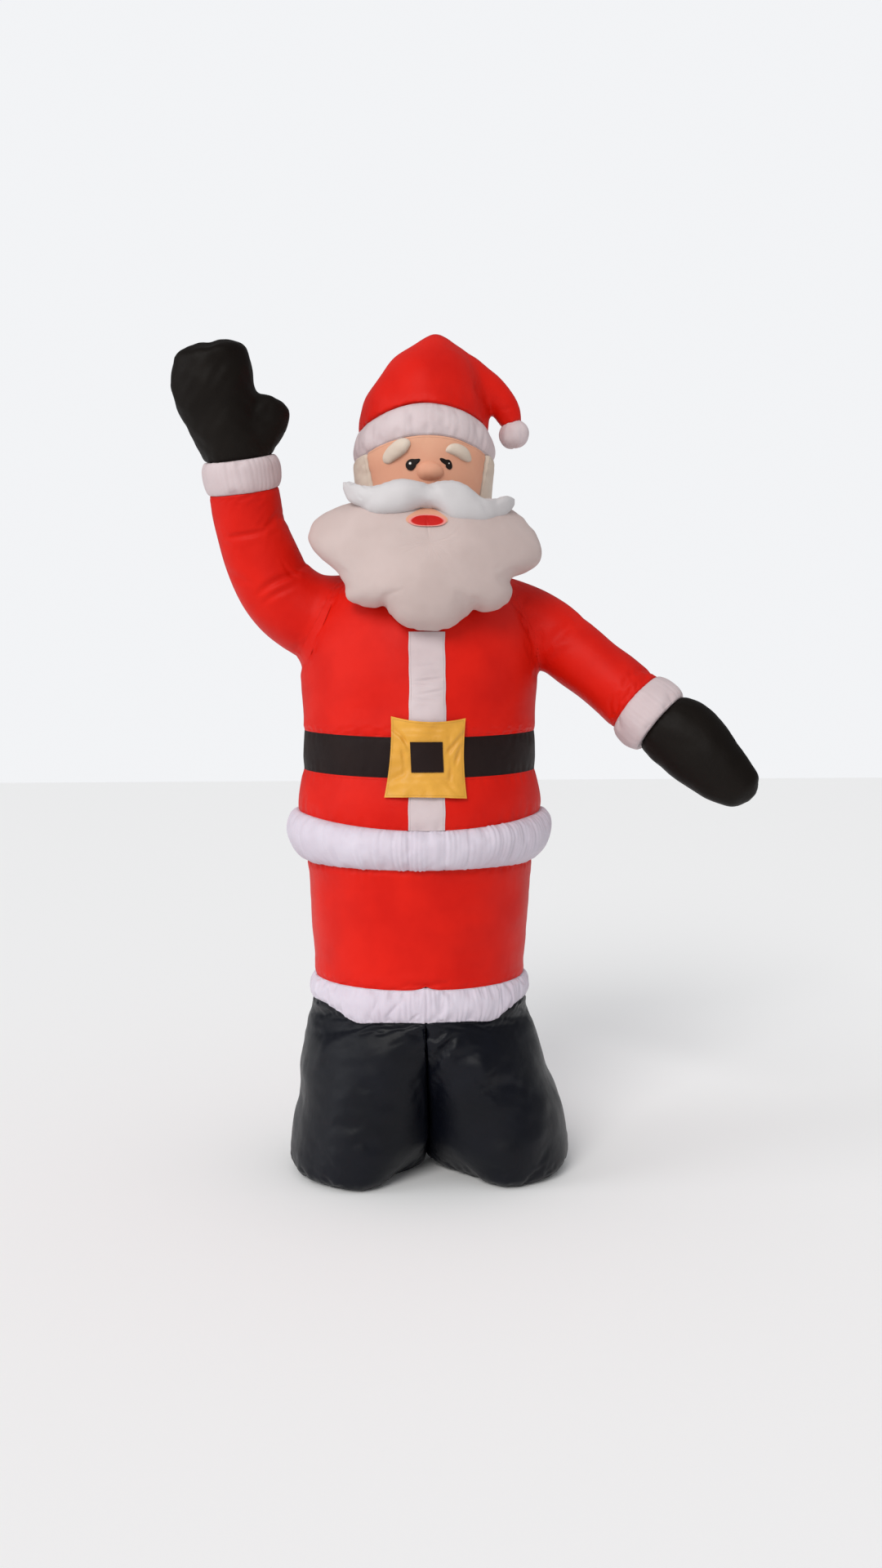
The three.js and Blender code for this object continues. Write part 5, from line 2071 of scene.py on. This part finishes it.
@dataclass
class Beard:
    """The beard: a cushion of two panels over the lower face and the chest, with a scalloped edge.

    Attributes:
        middle: x and z of its pole.
        front_depth: how far its crown stands in front of the surface that its edge lies on.
        back_depth: how far its back would reach behind it.
        y: where that surface lies at the height top.
        top: the height.
        slope: how much further forwards the surface lies for each millimetre down.
        turn_back: how far it turns back at half_width beside the middle.
        half_width: half the beard's width.
        round: the power of the sine that gives the reach. Below one, the cushion is fuller near its edge.
        rows: how many points go from the back pole to the front pole.
        columns: how many go around.
        outline: its reach in each direction, in degrees.
    """

    middle: tuple[float, float] = (6.0, 1790.0)
    front_depth: float = 150.0
    back_depth: float = 90.0
    y: float = -195.0
    top: float = 1925.0
    slope: float = 0.3
    turn_back: float = 60.0
    half_width: float = 310.0
    round: float = 0.85
    rows: int = 100
    columns: int = 384
    outline: Curve = field(default_factory=lambda: closed(BEARD_OUTLINE))

    def surface(self, x: Array, z: Array) -> Array:
        """The surface that the edge lies on: it slopes forwards going down and turns back at its sides."""
        side = ((x - self.middle[0]) / self.half_width) ** 2
        return self.y - self.slope * (self.top - z) + self.turn_back * side

    def reaches(self, angle: Array) -> tuple[Array, Array]:
        """The outline's reach in a direction: the mean of five directions 20 degrees apart, and its own."""
        degrees = (np.degrees(angle) + 180) % 360 - 180
        soft = sum(self.outline((degrees + offset + 180) % 360 - 180) for offset in (-40, -20, 0, 20, 40)) / 5
        return soft, self.outline(degrees)

    def points(self, angle: Array, theta: Array) -> Array:
        """Places on the cushion: theta runs from 0 at the front pole to pi at the back pole.

        The share of the reach is a power of sin(theta) and the depth goes with cos(theta). The reach blends
        from the soft one in the middle to the scalloped one at the edge.

        Args:
            angle: the direction from the middle, anticlockwise from the figure's left.
            theta: the angle from the front pole.

        Returns:
            The points.
        """
        out = np.sin(theta) ** self.round
        away = mixed(*self.reaches(angle), out**3) * out
        x, z = self.middle[0] + away * np.cos(angle), self.middle[1] + away * np.sin(angle)
        depth = np.where(theta < math.pi / 2, self.front_depth, self.back_depth)
        return xyz(x, self.surface(x, z) - depth * np.cos(theta), z)

    def front(self, x: Array, z: Array) -> Array:
        """Where the finished front lies at a place, from six rounds of closing in on its angle theta.

        Args:
            x: how far towards the figure's left.
            z: the height.

        Returns:
            How far back it lies.
        """
        angle = np.arctan2(z - self.middle[1], x - self.middle[0])
        away = np.hypot(x - self.middle[0], z - self.middle[1])
        soft, sharp = self.reaches(angle)
        out = away / soft
        for _ in range(6):
            out = np.clip(away / mixed(soft, sharp, out**3), 0, 1)
        theta = np.arcsin(out ** (1 / self.round))
        row = np.interp(-theta, -self.rows_at(), np.arange(self.rows))
        return self.made.sample(row, angle / TAU * self.columns)[..., 1]

    def rows_at(self) -> Array:
        """The angle theta of each row, from the back to the front, closer together at the edge."""
        even = np.linspace(0.012, 0.995, self.rows)
        return math.pi * (1 - even + 0.055 * np.sin(TAU * even))

    def skin(self, behind: Front) -> Skin:
        """The beard's cloth, with creases in from the notches of its edge, held off what lies behind it.

        Args:
            behind: where the front of the body behind it lies at x and z.

        Returns:
            The beard.
        """
        theta, share = self.rows_at()[:, None], turns(self.columns)
        points = self.points(TAU * share, theta)
        degrees = (np.degrees(TAU * share) + 180) % 360 - 180
        inwards = np.abs(theta - math.pi / 2) * 190
        seam = Seam(1700, 800, 0.75, groove=2.2)
        rucks = sum(
            ruck((degrees - at + lean * inwards / 100) * 4.2, width, depth, inwards, reach)
            for at, width, depth, reach, lean in BEARD_RUCKS
        )
        stand = rucks + seam.puckers(share, inwards) + 2.0 * unevenness(points, 170, 803)
        skin = Skin(points, inwards, seam.length).push(stand)
        skin.aired(0.6, skin.seam < 5)
        x, y, z = np.moveaxis(skin.points, -1, 0)
        wall = np.where(theta > math.pi * 0.42, behind(x, z) - 1.5, FAR)
        skin.points[..., 1] = smooth_less(y, wall, 12.0)
        self.made = skin
        return skin


MOUSTACHE_TOP = (
    (-221, 1961), (-205, 1962), (-172, 1954), (-130, 1947), (-90, 1959), (-48, 1966), (-8, 1957), (30, 1957),
    (70, 1961), (107, 1947), (134, 1929), (165, 1922), (198, 1922), (238, 1927), (250, 1922),
)  # fmt: skip
MOUSTACHE_FOOT = (
    (-221, 1944), (-211, 1919), (-189, 1899), (-152, 1876), (-111, 1865), (-66, 1865), (-40, 1872), (-15, 1883),
    (9, 1886), (34, 1877), (50, 1860), (70, 1845), (107, 1839), (158, 1842), (198, 1857), (232, 1880),
    (250, 1906),
)  # fmt: skip
MOUSTACHE_DEPTH = (
    (-221, 5), (-205, 18), (-180, 30), (-130, 44), (-60, 54), (4, 44), (74, 56), (140, 49), (200, 36),
    (235, 22), (250, 5),
)  # fmt: skip
# Creases in the moustache: sideways place, height, lean, width, depth and reach.
MOUSTACHE_RUCKS = (
    (8, 22, 0.1, 24, 3.5, 30),
    (-20, 26, 0.7, 10, 1.4, 16),
    (32, 24, -0.7, 10, 1.4, 16),
    (-150, -10, 0.6, 14, 2.2, 22),
    (160, 6, -0.5, 14, 2.2, 20),
)


@dataclass
class Moustache:
    """The moustache: one cushion across the face, with a curled tip at each end.

    Attributes:
        y: the depth of its middle line at the figure's middle.
        turn_back: how much it turns back with the square of the sideways place.
    """

    y: float = -318.0
    turn_back: float = 0.00165

    def skin(self) -> Skin:
        """The moustache: at each sideways place an oval between its top line and its foot line.

        Returns:
            The moustache.
        """
        even, angle = tightened(steps(180), 0.7), TAU * turns(76)
        x = mixed(MOUSTACHE_TOP[0][0], MOUSTACHE_TOP[-1][0], even)
        top, foot, deep = (Curve(table)(x) for table in (MOUSTACHE_TOP, MOUSTACHE_FOOT, MOUSTACHE_DEPTH))
        middle, half = (top + foot) / 2, (top - foot) / 2
        z = middle + half * np.abs(np.sin(angle)) ** 0.9 * np.sign(np.sin(angle))
        points = xyz(x, self.y + self.turn_back * x**2 + deep * np.cos(angle), z)
        edge = (1 - np.abs(np.sin(angle))) * half * 1.3
        end = eased(even, 0, 0.05) * eased(1 - even, 0, 0.05)
        stand = Seam(560, 820, 0.6, groove=1.5).puckers(even, edge) + 1.3 * unevenness(points, 90, 823)
        stand = stand + sum(
            ruck(x - at - lean * (z - middle), width, depth, z - middle - up, reach)
            for at, up, lean, width, depth, reach in MOUSTACHE_RUCKS
        )
        return Skin(points, around=320.0).push(stand * end).aired()


# ---- Hat ----

# The hat above its band: z, x, half width and half depth.
HAT = (
    (2040, 14, 183, 194), (2149, 14, 183, 194), (2181, 15, 181, 190), (2214, 17, 174, 180),
    (2246, 21, 161, 166), (2278, 27, 147, 150), (2310, 34, 128, 128), (2343, 40, 100, 98), (2375, 44, 61, 59),
    (2396, 46, 29, 28), (2407, 46, 8, 8),
)  # fmt: skip
HAT_TAIL = (  # x, y, z, radius
    (56, -6, 2350, 42), (84, -6, 2334, 49), (118, -6, 2298, 61), (160, -7, 2269, 57), (200, -9, 2245, 51),
    (226, -11, 2223, 45), (245, -13, 2199, 41), (258, -14, 2172, 37), (266, -15, 2148, 33),
)  # fmt: skip
HAT_FOLDS = (
    Fold((196, 2196), (150, 2262), 18, 3.5, 10),
    Fold((206, 2202), (186, 2250), 11, 2.0, 5),
    Fold((228, 2186), (270, 2196), 9, 1.6, 0),
    Fold((60, 2370), (150, 2318), 16, 1.2, 6),
    Fold((-120, 2160), (-60, 2290), 26, 1.4, 10),
)


@dataclass
class Hat:
    """The hat above its band: a peaked crown, a tail that hangs from its side, and the pompom.

    Attributes:
        y: the crown's middle.
        shoulder: the middle of the ball that fills the bend between the crown and the tail.
        shoulder_half: its half sizes.
        pompom: the pompom's middle.
        pompom_radius: its radius.
    """

    y: float = -6.0
    shoulder: tuple[float, float, float] = (88.0, -6.0, 2266.0)
    shoulder_half: tuple[float, float, float] = (98.0, 98.0, 96.0)
    pompom: tuple[float, float, float] = (272.0, -15.0, 2124.0)
    pompom_radius: float = 42.0

    def above_seam(self, brim: Brim, points: Array) -> tuple[Array, Array]:
        """How far points are above the seam with the band, and the angle around it at which they stand."""
        turn = np.arctan2((points[..., 1] - self.y) / 193, (points[..., 0] - 14) / 181)
        return np.maximum(points[..., 2] - brim.ring(turn, 1.0)[..., 2], 0), turn

    def shape(self, head: Head) -> Shape:
        """The crown and the tail in one skin, with puckers along the band and creases where the tail bends.

        Args:
            head: the head under it.

        Returns:
            The hat.
        """
        share = turns(140)
        angle = TAU * share
        floor = head.brim.ring(angle, 1.0)[..., 2] + 0.6
        z = mixed(floor, HAT[-1][0], np.sin(np.linspace(0, math.pi / 2, 110))[:, None])
        middle, wide, deep = np.moveaxis(Curve(HAT)(z), -1, 0)
        crown = xyz(middle + wide * np.cos(angle), self.y + deep * np.sin(angle), z)
        tail = Limb(HAT_TAIL)
        tube, _ = tail.tube(steps(70), share)
        forms = (Skin(crown), Skin(tube), ball_skin(self.shoulder, self.shoulder_half, 60, 90))
        whole = one_skin([form.shape() for form in forms], 8.0, 8)
        whole = whole.aired(self.above_seam(head.brim, whole.points)[0] < 6, 0.4)
        x, _, z = whole.points.T
        above, turn = self.above_seam(head.brim, whole.points)
        above = np.where((x > 185) & (tail.distance(whole.points) < 12), FAR, above)
        end = np.maximum(np.linalg.norm(whole.points - tail.middle[-1], axis=1) - 30, 0)
        stand = head.hat_seam.puckers(turn / TAU % 1, above) + 1.8 * unevenness(whole.points, 130, 840)
        stand = stand + Seam(190, 47, 0.8).puckers(tail.share(whole.points), end) * (x > 200)
        normals = whole.turned_out().normals()
        whole.push(stand + sum(fold.height(whole.points, normals) for fold in HAT_FOLDS))
        whole.around = head.hat_seam.length
        whole.values = {"seam": above, "along": turn / TAU % 1 * whole.around, "down": z}
        return whole

    def pompom_skin(self) -> Skin:
        """The pompom: a ball of white cloth, gathered at both poles."""
        radius = self.pompom_radius
        skin = ball_skin(self.pompom, (radius, radius, radius * 0.97), 56, 110)
        theta = np.linspace(0.02, math.pi - 0.02, 56)[:, None]
        near = np.minimum(theta, math.pi - theta) * radius
        rucks = 1.3 * pleats(skin.share, 16, 850, theta) * np.exp(-near / 26)
        rucks = rucks + 0.8 * pleats(skin.share, 7, 851, theta)
        skin.push(rucks * eased(near, 0, 8) - 3 * np.exp(-near / 5) + unevenness(skin.points, 40, 852))
        return skin.aired()

    def build(self, shop: Workshop, head: Head) -> None:
        """Makes the hat and the pompom.

        Args:
            shop: where pieces are made.
            head: the head under it.
        """
        shop.piece("hat", self.shape(head), RED, "red")
        shop.piece("pompom", self.pompom_skin(), WHITE, "white")


# ---- The room ----


# The lights: name, the way that each comes from, its spread in degrees, watts for a square metre, and tint.
SUNS = (
    ("key", (-0.42, -1.0, 0.72), 26.0, 1.5, (1.0, 0.985, 0.96)),
    ("window", (-1.0, -0.25, 0.30), 34.0, 0.75, (0.97, 0.985, 1.0)),
)


@dataclass
class Studio:
    """A pale floor, soft light from the figure's right, and the camera.

    Attributes:
        eye: where the camera stands from the axis of the body on the ground, in metres.
        heading: how far it looks from straight back towards +X, in degrees.
        pitch: how far it looks down, in degrees.
        lens: its focal length, in millimetres.
        floor_reach: half the floor's side, in metres, so that it fills every view.
        floor_white: how pale the floor is.
    """

    eye: tuple[float, float, float] = (-0.2714, -4.5689, 1.499)
    heading: float = 4.187
    pitch: float = 4.74
    lens: float = 36.17
    floor_reach: float = 14.0
    floor_white: float = 0.95

    def camera(self, origin: Array) -> None:
        """Sets up the camera.

        Args:
            origin: where the axis of the body stands, in metres.
        """
        data = bpy.data.cameras.new("camera")
        data.lens = self.lens
        data.sensor_width = 36.0
        data.clip_end = 60.0
        made = bpy.data.objects.new("camera", data)
        made.location = tuple(np.add(origin, self.eye))
        made.rotation_euler = (math.radians(90 - self.pitch), 0, -math.radians(self.heading))
        bpy.context.scene.collection.objects.link(made)
        bpy.context.scene.camera = made

    def suns(self) -> None:
        """Adds even soft light from the sides, like that of large windows far away."""
        for name, way, spread, power, tint in SUNS:
            data = bpy.data.lights.new(name, "SUN")
            data.angle, data.energy, data.color = math.radians(spread), power, tint
            made = bpy.data.objects.new(name, data)
            made.location = tuple(3 * part for part in way)
            made.rotation_euler = (math.atan2(math.hypot(way[0], way[1]), way[2]), 0, math.atan2(way[0], -way[1]))
            bpy.context.scene.collection.objects.link(made)

    def floor(self, origin: Array) -> None:
        """Lays the floor.

        Args:
            origin: where the axis of the body stands, in metres.
        """
        corners = np.array([(-1, -1, 0), (1, -1, 0), (1, 1, 0), (-1, 1, 0)]) * self.floor_reach + origin
        mesh = bpy.data.meshes.new("floor")
        mesh.from_pydata(corners.tolist(), [], [(0, 1, 2, 3)])
        made = bpy.data.objects.new("floor", mesh)
        paint = bpy.data.materials.new("floor_paint")
        paint.use_nodes = True
        paint.node_tree.nodes.clear()
        nodes = Nodes(paint.node_tree)
        shader = nodes.add("BsdfPrincipled", {"Base Color": (*[self.floor_white] * 3, 1), "Roughness": 0.9})
        nodes.add("OutputMaterial", {"Surface": shader.outputs[0]})
        mesh.materials.append(paint)
        bpy.context.scene.collection.objects.link(made)

    def sky(self) -> None:
        """Lights the room evenly: brighter to the camera than on the cloth, and dimmer in its shine."""
        world = bpy.data.worlds.new("pale_room")
        world.use_nodes = True
        sky = world.node_tree.nodes["Background"]
        sky.inputs["Color"].default_value = (0.97, 0.98, 1.0, 1)
        nodes = Nodes(world.node_tree)
        ray = nodes.add("LightPath")
        seen = nodes.math("MULTIPLY_ADD", ray.outputs["Is Camera Ray"], 0.32, 0.6)
        power = nodes.math("MULTIPLY_ADD", ray.outputs["Is Glossy Ray"], -0.36, seen)
        world.node_tree.links.new(power, sky.inputs["Strength"])
        bpy.context.scene.world = world

    def build(self, origin: Array) -> None:
        """Sets up the room.

        Args:
            origin: where the axis of the body stands, in metres.
        """
        bpy.context.scene.view_settings.view_transform = "Standard"
        self.sky()
        self.suns()
        self.floor(origin)
        self.camera(origin)


# ---- The figure ----


def main() -> None:
    """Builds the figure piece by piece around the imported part."""
    logging.basicConfig(level=logging.INFO, format="%(message)s", stream=sys.stdout)
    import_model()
    low, high = (np.array(corner, float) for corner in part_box("belt"))
    origin = np.array([(low[0] + high[0]) / 2, (low[1] + high[1]) / 2, 0.0])
    shop, torso, head, beard = Workshop(origin), Torso(), Head(), Beard()
    arms = (waving_arm(), held_out_arm())
    torso.build(shop, arms)
    Dress().build(shop, torso)
    Boots().build(shop, torso)
    for arm in arms:
        arm.build(shop, torso)
    head.build(shop)

    def behind(x: Array, z: Array) -> Array:
        """Where the front of the head, the hair or the chest lies, whichever is nearest."""
        return np.minimum(head.front(x, z, 8.0), torso.front(x, z))

    shop.piece("beard", beard.skin(behind), HAIR, "hair_white")
    shop.piece("moustache", Moustache().skin(), COOL_WHITE, "hair_white")
    Features().build(shop, head, beard)
    Hat().build(shop, head)
    Studio().build(origin)


if __name__ == "__main__":
    main()
